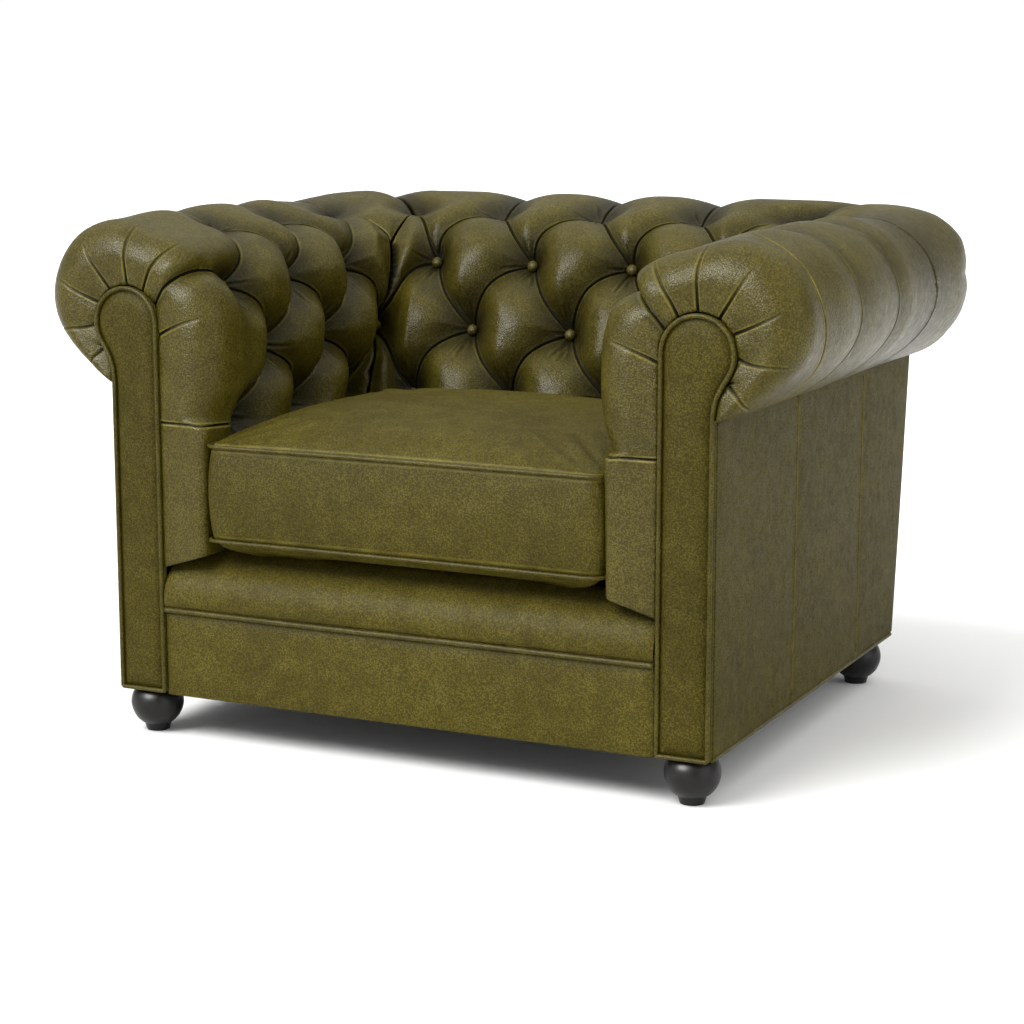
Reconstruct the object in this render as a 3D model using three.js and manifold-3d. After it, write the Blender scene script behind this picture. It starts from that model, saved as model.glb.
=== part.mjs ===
// A deep-buttoned armchair with rolled arms and back, a loose seat cushion and bun feet.
// Millimetres, +Z up. The front looks along -Y, and left and right are as seen from the front.
// While it is built, y = 0 is the plane of the arm fronts and z = 0 is the floor.
import * as THREE from 'three';
import { mergeVertices } from 'three/addons/utils/BufferGeometryUtils.js';
import Module from 'manifold-3d';

const wasm = await Module();
wasm.setup();

// Overall sizes
const overallWidth = 1154;
const overallDepth = 912;
const overallHeight = 742;
const armWidth = 291;
const backWidth = 460;
const armOverhang = 127;
const backOverhang = 72;
const cornerRadius = 254;
const footHeight = 62.7;
const seatHeight = 268.7;
const backRake = 55;

// Clearances and covers
const gap = 0.3;
const panelThickness = 8.4;
const cutOverrun = 5;

// Arm fronts
const facingWidth = 79;
const headRadius = 53;
const ringWidth = 101;
const facingBoard = 9.2;
const facingPuff = 8.5;
const pipingRadius = 3.9;
const ringProud = 7;
const ringEdge = 1;
const ringFold = 9;
const stripDrop = 22;
const neckDrop = 85;
const neckLift = 4;

// Tufting
const firstColumn = 45;
const cornerInset = 113;
const tuftReach = 58;
const pleatReach = 60;
const seamReach = 26;
const ringLength = 100;
const buttonRadius = 7.5;
const buttonShank = 12;
const cornerShank = 34;
const buttonHead = 6;

// Frame timber
const postWidth = 43;
const frontPostDepth = 30.4;
const backPostDepth = 76;
const railDepth = 27.7;
const railHeight = 114;
const sideRailWidth = 25;
const rollStuffing = 142.3;
const boardThickness = 34.7;
const topRailClearance = 5;
const tackRailThickness = 26.7;
const tackRailHeight = 50;
const tackRailBottom = 240;
const tackRailInset = 8.6;
const backPadFoot = 103;
const backPadTop = 198;
const blockLength = 60;
const coverThickness = 2.7;

// Feet and their bolts
const footRadius = 37.5;
const footBaseRadius = 17;
const footBaseHeight = 12;
const footBallHeight = 40.1;
const footInset = 38;
const frontFootInset = 33;
const backFootInset = 62;
const boltRadius = 4;
const boltBottom = 24;
const boltTop = 112;

// Front border and lip
const borderPuff = 5;
const lipBottom = 190;
const lipDepth = 60;
const lipProud = 8;

// Seat springs
const springCount = 4;
const springWaves = 12;
const springWidth = 44;
const springWire = 2;
const springEnd = 178;
const springCrown = 57;

// Seat cushion
const cushionSideGap = 3;
const cushionBackGap = 6;
const cushionFront = 1;
const cushionCorner = 28;
const cushionBottomCrown = 23;
const cushionBoxing = 131;
const cushionTopCrown = 32;
const boxingBulge = 3;
const sideDraw = 4;
const coverWall = 2.5;
const zipEnd = 54;
const zipHeight = 12;
const tapeThickness = 1.8;
const sliderLength = 12;
const sliderHeight = 10;
const sliderThickness = 2.6;
const pullLength = 24;
const pullWidth = 6;

// Places that follow from the sizes
const bodyHalf = overallWidth / 2 - armOverhang;
const armFace = overallWidth / 2 - armWidth;
const backFace = overallDepth - backWidth;
const outerBack = overallDepth - backOverhang;
const bodyBottom = footHeight + gap;
const padBottom = seatHeight + gap;
const padHeight = overallHeight - padBottom;
const headTop = overallHeight - ringWidth;
const headZ = headTop - headRadius;
const rollFoot = headZ - neckDrop;
const rollBoardHeight = overallHeight - rollStuffing;
const backFootDepth = outerBack - backRake;
const frameHalf = bodyHalf - panelThickness - gap;
const postInner = frameHalf - postWidth;
const frontFace = facingBoard + gap;
const frameBack = backFootDepth - panelThickness - gap;
const backPostFront = frameBack - backPostDepth;
const railBottom = bodyBottom + coverThickness + gap;
const facingInner = bodyHalf - facingWidth;
const headX = facingInner + headRadius;
const channelTop = rollBoardHeight + gap;

// The rows of the cover, from the seat up the inside, over the roll and down to its underside.
// Each pair is the share of the pad's width from its inner face and the share of its height.
const lastRow = 13;
const armCrestShares = [[0.052, 0], [0.038, 0.3615], [0, 0.5687], [0.031, 0.776], [0.172, 0.896],
  [0.385, 0.966], [0.605, 1], [0.804, 0.968], [0.935, 0.89], [1, 0.784]];
const armValleyShares = [[0.203, 0], [0.261, 0.3615], [0.261, 0.5687], [0.254, 0.763], [0.34, 0.852],
  [0.443, 0.911], [0.605, 0.951], [0.78, 0.941], [0.904, 0.877], [0.966, 0.78]];
const backCrestShares = [[0, 0], [0.05, 0.3615], [0.117, 0.5835], [0.209, 0.801], [0.322, 0.92],
  [0.446, 0.975], [0.598, 1], [0.761, 0.9725], [0.904, 0.894], [1, 0.784]];
const backValleyShares = [[0.104, 0], [0.165, 0.353], [0.254, 0.558], [0.346, 0.763], [0.413, 0.852],
  [0.478, 0.911], [0.598, 0.958], [0.75, 0.945], [0.887, 0.879], [0.978, 0.78]];
// Under the roll the first number is a share of the overhang instead.
const crestUnderShares = [[0.95, 0.683], [0.7, 0.59], [0.33, 0.522]];
const valleyUnderShares = [[0.882, 0.687], [0.661, 0.6], [0.3, 0.531]];
const cornerShares = [0.12, 0.12, 0.12, 0.12, 0.16, 0.24, 0.35, 0.44, 0.63, 1, 0.9, 0.7, 0.31, 0.04];
// The keyhole's rows: turns of the head in shares of half a circle, then its neck.
const headTurnShares = [1, 0.739, 0.6, 0.456, 0.311, 0.167, 0.022, -0.122];
const neckShares = [[0.43, 0.53], [0.1, 0.3]];
// Heights of the keyhole's straight rows between the seat and the head's middle
const straightShares = [0.536, 0.843];
// How deep a pleat is at its ends, as a share of a tuft's depth
const pleatShare = 0.45;
const seatPleatShares = [0.4, 0.2];
const cornerPleatShares = [0.4, 0.5];
const cornerFoldShare = 0.6;
const rollSeamShares = [0.9, 0.7];
const bentSeamShares = [0.9, 0.8, 0.7];
const frontSeamShares = [0, 0.7, 0.7];
const stripPleatShares = [0.4, 0.15, 0.7];
const lowStripShare = 0.3;
const ringPleatShares = [0, 0.8];
// The ring turns in over this share of its way, and crosses this share of its width meanwhile
const ringTurnShare = 0.7;
const ringAcrossShare = 0.55;
const ringColumnShares = [1, 0.85, 0.7, 0.5, 0.25];

// Colours
const leather = { color: 0x5b5325, roughness: 0.42, metalness: 0 };
const pipingLeather = { color: 0x665d2b, roughness: 0.4, metalness: 0 };
const fabric = { color: 0x1f1e1c, roughness: 0.95, metalness: 0 };
const foam = { color: 0xe9dfb8, roughness: 0.9, metalness: 0 };
const timber = { color: 0xb98a55, roughness: 0.7, metalness: 0 };
const blackWood = { color: 0x15140f, roughness: 0.35, metalness: 0 };
const steel = { color: 0x9a9c9e, roughness: 0.35, metalness: 1 };
const brass = { color: 0xb48a3c, roughness: 0.3, metalness: 1 };

const chair = new THREE.Group();
const { lerp, smoothstep } = THREE.MathUtils;
const sides = [['left', -1], ['right', 1]];
const ends = ['front', 'back'];

function add(name, geometry, finish, position = new THREE.Vector3()) {
  const mesh = new THREE.Mesh(geometry, new THREE.MeshStandardMaterial(finish));
  mesh.name = name;
  mesh.position.copy(position);
  chair.add(mesh);
  return mesh;
}

// A straight-edged piece of timber or board between two corners
function addBlock(name, low, high, finish) {
  const size = high.map((value, axis) => value - low[axis]);
  const middle = high.map((value, axis) => (value + low[axis]) / 2);
  return add(name, new THREE.BoxGeometry(...size), finish, new THREE.Vector3(...middle));
}

// The same block on the other side of the chair
function mirrored(low, high, sign) {
  if (sign > 0) return [low, high];
  return [[-high[0], low[1], low[2]], [-low[0], high[1], high[2]]];
}

// A flat outline in Y and Z, drawn out along X
function crossPlate(points, fromX, toX) {
  const shape = new THREE.Shape(points.map(([y, z]) => new THREE.Vector2(y, z)));
  const geometry = new THREE.ExtrudeGeometry(shape, { depth: toX - fromX, bevelEnabled: false });
  const basis = new THREE.Matrix4().makeBasis(
    new THREE.Vector3(0, 1, 0), new THREE.Vector3(0, 0, 1), new THREE.Vector3(1, 0, 0));
  return geometry.applyMatrix4(basis.setPosition(fromX, 0, 0));
}

// A flat outline in X and Y, drawn up along Z
function flatPlate(shape, fromZ, toZ) {
  const geometry = new THREE.ExtrudeGeometry(shape, { depth: toZ - fromZ, bevelEnabled: false });
  return geometry.translate(0, 0, fromZ);
}

function rectangle(fromX, toX, fromY, toY) {
  return new THREE.Shape([[fromX, fromY], [toX, fromY], [toX, toY], [fromX, toY]]
    .map(([x, y]) => new THREE.Vector2(x, y)));
}

// A turned piece: radius and height pairs round a vertical axis
function turned(profile, segments) {
  const points = profile.map(([radius, height]) => new THREE.Vector2(radius, height));
  return new THREE.LatheGeometry(points, segments).rotateX(Math.PI / 2);
}

function geometryFrom(positions, triangles) {
  const geometry = new THREE.BufferGeometry();
  geometry.setAttribute('position', new THREE.Float32BufferAttribute(positions, 3));
  geometry.setIndex(triangles);
  return geometry;
}

// Six times the signed volume inside a closed set of triangles
function signedVolume(points, triangles) {
  let volume = 0;
  for (let i = 0; i < triangles.length; i += 3) {
    const [a, b, c] = [0, 1, 2].map((corner) => points[triangles[i + corner]]);
    volume += a.dot(new THREE.Vector3().crossVectors(b, c));
  }
  return volume;
}

// Triangles over a flat view of a loop, wound the way the loop runs
function capTriangles(flat) {
  const area = THREE.ShapeUtils.area(flat);
  return THREE.ShapeUtils.triangulateShape(flat, []).flatMap(([a, b, c]) => {
    const turn = THREE.ShapeUtils.area([flat[a], flat[b], flat[c]]);
    return turn * area > 0 ? [a, b, c] : [a, c, b];
  });
}

// A closed body through loops of equal count. flatten gives the flat view of an end loop, and
// depths tells, where it is given, along which diagonal a four-sided facet is folded.
function loft(loops, flatten, depths = null, closed = false) {
  const count = loops[0].length;
  const points = loops.flat();
  const triangles = [];
  const steps = closed ? loops.length : loops.length - 1;
  for (let i = 0; i < steps; i += 1) {
    const next = (i + 1) % loops.length;
    for (let j = 0; j < count; j += 1) {
      const k = (j + 1) % count;
      const [a, b, c, d] = [i * count + j, i * count + k, next * count + k, next * count + j];
      const foldAcross = depths && depths[i][j] + depths[next][k] < depths[i][k] + depths[next][j];
      if (foldAcross) triangles.push(a, b, d, b, c, d);
      else triangles.push(a, b, c, a, c, d);
    }
  }
  if (!closed) {
    const last = (loops.length - 1) * count;
    const first = capTriangles(loops[0].map(flatten));
    const end = capTriangles(loops[loops.length - 1].map(flatten));
    for (let i = 0; i < first.length; i += 3) triangles.push(first[i], first[i + 2], first[i + 1]);
    triangles.push(...end.map((index) => index + last));
  }
  if (signedVolume(points, triangles) < 0) triangles.reverse();
  return geometryFrom(points.flatMap((point) => point.toArray()), triangles);
}

// The same body on the other side of the chair
function mirrorGeometry(geometry) {
  const copy = geometry.clone().scale(-1, 1, 1);
  copy.setIndex([...geometry.index.array].reverse());
  return copy;
}

// A round cord along points. aside is a direction that the path never runs along.
function cordAlong(path, radius, facets, aside, closed = false) {
  const loops = path.map((point, i) => {
    const before = closed ? path[(i + path.length - 1) % path.length] : path[Math.max(i - 1, 0)];
    const after = closed ? path[(i + 1) % path.length] : path[Math.min(i + 1, path.length - 1)];
    const into = new THREE.Vector3().subVectors(point, before).normalize();
    const out = new THREE.Vector3().subVectors(after, point).normalize();
    const along = into.lengthSq() === 0 ? out : into.clone().add(out).normalize();
    const stretch = 1 / Math.max(along.dot(out.lengthSq() === 0 ? into : out), 1 / 2);
    const across = new THREE.Vector3().crossVectors(along, aside).normalize();
    const upward = new THREE.Vector3().crossVectors(across, along);
    return Array.from({ length: facets }, (_, facet) => {
      const turn = (facet / facets) * 2 * Math.PI;
      return point.clone()
        .addScaledVector(across, radius * stretch * Math.cos(turn))
        .addScaledVector(upward, radius * Math.sin(turn));
    });
  });
  const flatten = (point, index) => {
    const turn = (index / facets) * 2 * Math.PI;
    return new THREE.Vector2(Math.cos(turn), Math.sin(turn));
  };
  return loft(loops, flatten, null, closed);
}

// One section of the stuffing: shares turned into real places
function outline(face, width, panelFace, overhang, upperShares, underShares) {
  const upper = upperShares.map(([across, up]) => [face + width * across, padBottom + padHeight * up]);
  const under = underShares.map(([out, up]) => [panelFace + overhang * out, padBottom + padHeight * up]);
  const points = [...upper, ...under, [panelFace, rollFoot]];
  return new THREE.SplineCurve(points.map(([across, up]) => new THREE.Vector2(across, up)));
}

const armCrest = outline(armFace, armWidth, bodyHalf, armOverhang, armCrestShares, crestUnderShares);
const armValley = outline(armFace, armWidth, bodyHalf, armOverhang, armValleyShares, valleyUnderShares);
const backCrest = outline(backFace, backWidth, outerBack, backOverhang, backCrestShares, crestUnderShares);
const backValley = outline(backFace, backWidth, outerBack, backOverhang, backValleyShares, valleyUnderShares);

// Value of a list at a place between two of its entries
function between(list, place) {
  const whole = Math.min(Math.floor(place), list.length - 2);
  return lerp(list[whole], list[whole + 1], place - whole);
}

// The keyhole outline of an arm front, row by row like the cover: a straight inner edge, a round
// head and a neck that comes back to the outside panel
const headRow = 3;
const neckRow = headRow + headTurnShares.length - 1;
const straightHeights = [padBottom - stripDrop,
  ...straightShares.map((up) => lerp(padBottom, headZ, up)), headZ];

function headPoint(row) {
  const turn = between(headTurnShares, row - headRow) * Math.PI;
  return new THREE.Vector2(headX + headRadius * Math.cos(turn), headZ + headRadius * Math.sin(turn));
}

const neckWidth = headX + headRadius - bodyHalf;
const neckPoints = neckShares.map(([out, up]) => (
  new THREE.Vector2(bodyHalf + neckWidth * out, lerp(rollFoot, headZ, up))));
const neck = new THREE.SplineCurve([headPoint(neckRow - 1), headPoint(neckRow), ...neckPoints,
  new THREE.Vector2(bodyHalf, rollFoot + neckLift)]);

function keyholePoint(row) {
  if (row <= headRow) return new THREE.Vector2(facingInner, between(straightHeights, row));
  if (row <= neckRow) return headPoint(row);
  return neck.getPoint((row - neckRow + 1) / (lastRow - neckRow + 1));
}

// Columns of tufts are counted in half pitches: 0 at the arm's front seam, 5 at the arm's last
// column, 6 in the corner, 7 at the back's first column and 10 in the middle of the back.
const lastArmColumn = backFace + backWidth * backValleyShares[2][0] - cornerInset;
const lastBackColumn = armFace + armWidth * armValleyShares[2][0] - cornerInset;
const halfPitch = (lastArmColumn - firstColumn) / 5;

// The plan of one level: along the arm, round the corner and along the back
function planPoint(armX, backY, radius, column) {
  const armEnd = Math.min(lastArmColumn, backY - radius);
  const backEnd = Math.min(lastBackColumn, armX - radius);
  if (column <= 5) return [armX, lerp(firstColumn, armEnd, column / 5)];
  if (column >= 7) return [lerp(backEnd, 0, (column - 7) / 3), backY];
  const halfArc = (radius * Math.PI) / 4;
  const armLeg = backY - radius - armEnd;
  const backLeg = armX - radius - backEnd;
  const along = column <= 6 ? (column - 5) * (armLeg + halfArc)
    : armLeg + halfArc + (column - 6) * (halfArc + backLeg);
  if (along <= armLeg) return [armX, armEnd + along];
  if (along >= armLeg + 2 * halfArc) return [armX - radius - (along - armLeg - 2 * halfArc), backY];
  const turn = (along - armLeg) / radius;
  return [armX - radius + radius * Math.cos(turn), backY - radius + radius * Math.sin(turn)];
}

// Tufts and the pleats between them, as columns and rows
const seatRow = 1;
const lowRow = 2;
const highRow = 3;
const rollRow = 5;
const oddColumns = [1, 3, 5, 7, 9];
const evenColumns = [2, 4, 6, 8, 10];
const cornerColumns = [5.5, 6.5];
const seamColumns = [2, 4, 8, 10];
const rollColumns = [...seamColumns, ...cornerColumns];
const cornerFold = [6, 3.4];
const armSeam = [[5.5, rollRow], [5.25, 7], [5.25, lastRow]];
const mitreSeam = [[6.5, rollRow], [6, 8], [6, lastRow]];
const frontSeam = [[0, 6], [0, 8], [0, lastRow]];
const stripSeam = [[1, highRow], [0, 2.9], [-1, 2.77]];
const lowStripSeam = [[1, seatRow], [-1, 1.12]];
const ringPleatStart = -0.1;
const ringPleatRows = [3.67, 4.47, 5.52, 7.07, 8.12, 9.33, 10.8];

function tuftPlaces() {
  const odd = oddColumns.flatMap((column) => [[column, seatRow], [column, highRow]]);
  const even = evenColumns.map((column) => [column, lowRow]);
  const roll = rollColumns.map((column) => [column, rollRow]);
  return [...odd, ...even, ...roll, cornerFold];
}

// A pleat runs between two places and is so deep at its two ends, in shares of the tuft's depth
function pleatPlaces() {
  const pleats = [];
  const pleat = (from, to, fromDepth, toDepth, reach) => {
    pleats.push({ from, to, fromDepth, toDepth, reach });
  };
  for (const odd of oddColumns) {
    for (const even of evenColumns.filter((column) => Math.abs(column - odd) === 1)) {
      pleat([odd, highRow], [even, lowRow], pleatShare, pleatShare, pleatReach);
      pleat([odd, seatRow], [even, lowRow], pleatShare, pleatShare, pleatReach);
    }
    for (const roll of rollColumns.filter((column) => Math.abs(column - odd) <= 1)) {
      pleat([roll, rollRow], [odd, highRow], pleatShare, pleatShare, pleatReach);
    }
    pleat([odd, seatRow], [odd, 0], ...seatPleatShares, pleatReach);
  }
  for (const column of cornerColumns) pleat([column, rollRow], cornerFold, ...cornerPleatShares, pleatReach);
  pleat(cornerFold, [6, lowRow], cornerFoldShare, cornerFoldShare, pleatReach);
  for (const column of seamColumns) pleat([column, rollRow], [column, lastRow], ...rollSeamShares, seamReach);
  // A run of seams or pleats through several places, with the depth at each
  const run = (places, shares, reach) => {
    for (let i = 1; i < places.length; i += 1) {
      pleat(places[i - 1], places[i], shares[i - 1], shares[i], reach[i - 1]);
    }
  };
  run(armSeam, bentSeamShares, [seamReach, seamReach]);
  run(mitreSeam, bentSeamShares, [seamReach, seamReach]);
  run(frontSeam, frontSeamShares, [seamReach, seamReach]);
  run(stripSeam, stripPleatShares, [pleatReach, seamReach]);
  pleat(...lowStripSeam, lowStripShare, lowStripShare, seamReach);
  for (const row of ringPleatRows) pleat([ringPleatStart, row], [-1, row], ...ringPleatShares, seamReach);
  return pleats;
}

// Length of the cover from the seat to each row
const rowLengths = armCrest.points.reduce((lengths, point, row) => {
  if (row > 0) lengths.push(lengths[row - 1] + point.distanceTo(armCrest.points[row - 1]));
  return lengths;
}, [0]);

// A place on the flat cover, before it is folded
function clothPlace(column, row) {
  const along = column < 0 ? column * ringLength : column * halfPitch;
  return new THREE.Vector2(along, between(rowLengths, row));
}

const tufts = tuftPlaces().map(([column, row]) => clothPlace(column, row));
const pleats = pleatPlaces().map((fold) => (
  { ...fold, start: clothPlace(...fold.from), end: clothPlace(...fold.to) }));

// How deep the cover is drawn in at a place: 0 on a pillow's crest, 1 at a button
function foldDepth(column, row) {
  const place = clothPlace(column, row);
  let proud = 1;
  let crease = 0;
  for (const tuft of tufts) {
    proud *= 1 - Math.max(1 - place.distanceTo(tuft) / tuftReach, 0) ** 2;
  }
  for (const { start, end, fromDepth, toDepth, reach } of pleats) {
    const run = end.clone().sub(start);
    const along = THREE.MathUtils.clamp(place.clone().sub(start).dot(run) / run.lengthSq(), 0, 1);
    const away = place.distanceTo(start.clone().addScaledVector(run, along));
    const depth = lerp(fromDepth, toDepth, along) * Math.max(1 - away / reach, 0) ** 2;
    crease = Math.max(crease, depth);
  }
  return 1 - proud * (1 - crease);
}

// From the arm's front seam (0) to the keyhole's rim (1): share of the way in, and depth
function ringProfile(share) {
  if (share < ringTurnShare) {
    const turn = (share / ringTurnShare) * (Math.PI / 2);
    return [ringAcrossShare * (1 - Math.cos(turn)), lerp(firstColumn, -ringProud, Math.sin(turn))];
  }
  const rest = (share - ringTurnShare) / (1 - ringTurnShare);
  return [lerp(ringAcrossShare, 1, rest), lerp(-ringProud, -ringEdge, rest)];
}

// A point of the cover on the right half, drawn in by depth
function coverPoint(column, row, depth) {
  const share = row / lastRow;
  const arm = armCrest.getPoint(share).lerp(armValley.getPoint(share), depth);
  const back = backCrest.getPoint(share).lerp(backValley.getPoint(share), depth);
  const radius = cornerRadius * between(cornerShares, row);
  const behind = Math.max(column, 0);
  const [x, y] = planPoint(arm.x, back.x, radius, behind);
  const z = lerp(arm.y, back.y, smoothstep(behind, 5, 7));
  if (column >= 0) return new THREE.Vector3(x, y, z);
  const rim = keyholePoint(row);
  const [across, front] = ringProfile(-column);
  return new THREE.Vector3(lerp(x, rim.x, across), front + depth * ringFold, lerp(z, rim.y, across));
}

// Rows where the cover is sampled: close where it is tufted, wider over the roll
const rowSteps = [3, 4, 4, 2, 2, 2, 2, 1, 2, 1, 1, 1, 1];
const rows = rowSteps.flatMap((steps, row) => (
  Array.from({ length: steps }, (_, step) => row + step / steps)));
rows.push(lastRow);

// The side of a pad that faces the frame
const hiddenCorners = [
  { x: frameHalf, y: outerBack - panelThickness - gap, z: rollFoot },
  { x: frameHalf, y: outerBack - panelThickness - gap, z: channelTop },
  { x: postInner - gap, y: backFace + backPadTop, z: channelTop },
  { x: postInner - gap, y: backFace + backPadFoot, z: padBottom },
];

// A closed section of a pad at one column. front is the depth that the hidden side starts at. The
// hidden side ends one gap away from the cover's lower edge, and in the ring it starts so too.
function padSection(column, front) {
  const outer = rows.map((row) => coverPoint(column, row, foldDepth(column, row)));
  const hidden = hiddenCorners.map((corner) => {
    const [x, y] = planPoint(corner.x, corner.y, gap, Math.max(column, 0));
    return new THREE.Vector3(x, column < 0 ? front : y, corner.z);
  });
  const besideEdge = (edge, corner) => {
    const place = edge.clone();
    if (column < 0) place.y = front;
    return place.lerp(corner, gap / place.distanceTo(corner));
  };
  const below = besideEdge(outer[0], hidden[hidden.length - 1]);
  if (column < 0) hidden[0] = besideEdge(outer[outer.length - 1], hidden[0]);
  return [...outer, ...hidden, below];
}

function columnDepths(column) {
  return [...rows.map((row) => foldDepth(column, row)), ...hiddenCorners.map(() => 0), 0];
}

// The flat view of a section across the arm, and of a pad's end section, at the arm's front or in
// the corner
const flattenAcross = (point) => new THREE.Vector2(point.x, point.z);
const flattenEnd = (point) => (
  new THREE.Vector2(Math.abs(point.x) + Math.max(point.y, firstColumn), point.z));

const mitre = new THREE.Vector3(-1, 1, 0).normalize();

function columnsBetween(from, to) {
  const perColumn = 4;
  const steps = Math.round((to - from) * perColumn);
  return Array.from({ length: steps + 1 }, (_, step) => from + step / perColumn);
}

function makeArmPads() {
  const ringColumns = ringColumnShares.map((share) => -share);
  const seatFront = frontFace;
  const rim = padSection(-1, seatFront);
  const recess = rim.map((point, index) => (
    index < rows.length ? new THREE.Vector3(point.x, seatFront, point.z) : point));
  const ring = ringColumns.map((column) => (
    padSection(column, lerp(seatFront + ringEdge, firstColumn, 1 + column))));
  const armColumns = columnsBetween(0, 6);
  const arm = armColumns.map((column) => padSection(column, firstColumn));
  arm[arm.length - 1].forEach((point) => point.addScaledVector(mitre, -gap / 2));
  const depths = [-1, ...ringColumns, ...armColumns].map(columnDepths);
  const geometry = loft([recess, ...ring, ...arm], flattenEnd, depths);
  add('arm_pad_right', geometry, leather);
  add('arm_pad_left', mirrorGeometry(geometry), leather);
}

function makeBackPad() {
  const half = columnsBetween(6, 10);
  const right = half.map((column) => padSection(column, firstColumn));
  right[0].forEach((point) => point.addScaledVector(mitre, gap / 2));
  const left = right.slice(0, -1).reverse().map((loop) => (
    loop.map((point) => new THREE.Vector3(-point.x, point.y, point.z))));
  const depths = [...half, ...half.slice(0, -1).reverse()].map(columnDepths);
  add('back_pad', loft([...right, ...left], flattenEnd, depths), leather);
}

// Covered buttons of the back, seated at the bottom of their dimples
function makeButtons() {
  const domeShares = [[1, 0], [0.93, 0.4], [0.6, 0.85], [0, 1]];
  const segments = 10;
  const button = (shank) => turned([[0, 0],
    ...domeShares.map(([out, up]) => [buttonRadius * out, shank + buttonHead * up])], segments);
  const places = [[10, lowRow], [8, lowRow], [6, lowRow], [9, highRow], [7, highRow]];
  const labels = { [lowRow]: 'low', [highRow]: 'high' };
  for (const [column, row] of places) {
    for (const [side, sign] of column === 10 ? [['middle', 1]] : sides) {
      const seat = coverPoint(column, row, foldDepth(column, row));
      const out = coverPoint(column, row, 0).sub(seat).normalize();
      seat.addScaledVector(out, gap);
      const mesh = add(`back_button_${labels[row]}_${side}_${column}`,
        button(column === 6 ? cornerShank : buttonShank), leather,
        new THREE.Vector3(seat.x * sign, seat.y, seat.z));
      out.x *= sign;
      mesh.quaternion.setFromUnitVectors(new THREE.Vector3(0, 0, 1), out);
    }
  }
}

// A loop drawn in by a distance. The loop lies in X and Z and may turn either way.
function insetLoop(points, distance) {
  const inward = Math.sign(THREE.ShapeUtils.area(points));
  return points.map((point, i) => {
    const before = points[(i + points.length - 1) % points.length];
    const after = points[(i + 1) % points.length];
    const first = point.clone().sub(before).normalize();
    const second = after.clone().sub(point).normalize();
    const normals = [first, second].map((run) => new THREE.Vector2(-run.y, run.x).multiplyScalar(inward));
    const middle = normals[0].clone().add(normals[1]).normalize();
    return point.clone().addScaledVector(middle, distance / Math.max(middle.dot(normals[0]), 1 / 2));
  });
}

// Keyhole loop down to the bottom of the body
function facingLoop() {
  const head = rows.map((row) => keyholePoint(row));
  return [...head, new THREE.Vector2(bodyHalf, bodyBottom), new THREE.Vector2(facingInner, bodyBottom)];
}

// Arm fronts: a board with a stuffed front, and a cord of piping in the rebate round it
function makeFacings() {
  const loop = facingLoop();
  const rebate = 2 * pipingRadius + 5 * gap;
  // Shares of the puff: inwards from the rebate, and out to the front
  const puffShares = [[0.17, 0.7], [0.9, 1]];
  const cordFacets = 6;
  const layers = [[gap, facingBoard - gap / 2], [gap, 0], [rebate, 0],
    ...puffShares.map(([inward, out]) => [rebate + facingPuff * inward, -facingPuff * out])];
  const loops = layers.map(([inset, y]) => (
    insetLoop(loop, inset).map((point) => new THREE.Vector3(point.x, y, point.y))));
  const facing = loft(loops, flattenAcross);
  const cordPath = insetLoop(loop, pipingRadius + 3 * gap)
    .map((point) => new THREE.Vector3(point.x, -gap - pipingRadius, point.y));
  const cord = cordAlong(cordPath, pipingRadius, cordFacets, new THREE.Vector3(0, 1, 0), true);
  for (const [side, sign] of sides) {
    add(`facing_${side}`, sign > 0 ? facing : mirrorGeometry(facing), leather);
    add(`facing_piping_${side}`, sign > 0 ? cord : mirrorGeometry(cord), pipingLeather);
  }
}

// Front border, its piping, and the stuffed lip under the cushion
function makeFront() {
  const half = facingInner - gap;
  const borderTop = lipBottom - 2 * pipingRadius - 2 * gap;
  const borderBack = frontFace + gap;
  const middle = (borderTop + bodyBottom) / 2;
  const border = [[borderBack, bodyBottom], [0, bodyBottom], [-borderPuff, (bodyBottom + middle) / 2],
    [-borderPuff, (borderTop + middle) / 2], [0, borderTop], [borderBack, borderTop]];
  add('front_border', crossPlate(border, -half, half), leather);
  const cordFacets = 8;
  const piping = new THREE.CylinderGeometry(pipingRadius, pipingRadius, 2 * half, cordFacets)
    .rotateZ(Math.PI / 2);
  add('border_piping', piping, pipingLeather,
    new THREE.Vector3(0, -pipingRadius / 2, lipBottom - gap - pipingRadius));
  // Shares of the lip's depth behind its front, and of its height up to the seat deck
  const lipShares = [[0.06, 0], [0, 0.22], [0.05, 0.41], [0.16, 0.57], [0.32, 0.7], [0.56, 0.84],
    [0.78, 0.93], [1, 1]];
  const lipHeight = seatHeight - lipBottom;
  const front = new THREE.SplineCurve(lipShares.map(([back, up]) => (
    new THREE.Vector2(lerp(-lipProud, lipDepth, back), lipBottom + lipHeight * up))));
  const lipSteps = 16;
  const lip = [...front.getPoints(lipSteps).map((point) => [point.x, point.y]), [lipDepth, lipBottom]];
  add('front_lip', crossPlate(lip, -half, half), leather);
}

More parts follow.
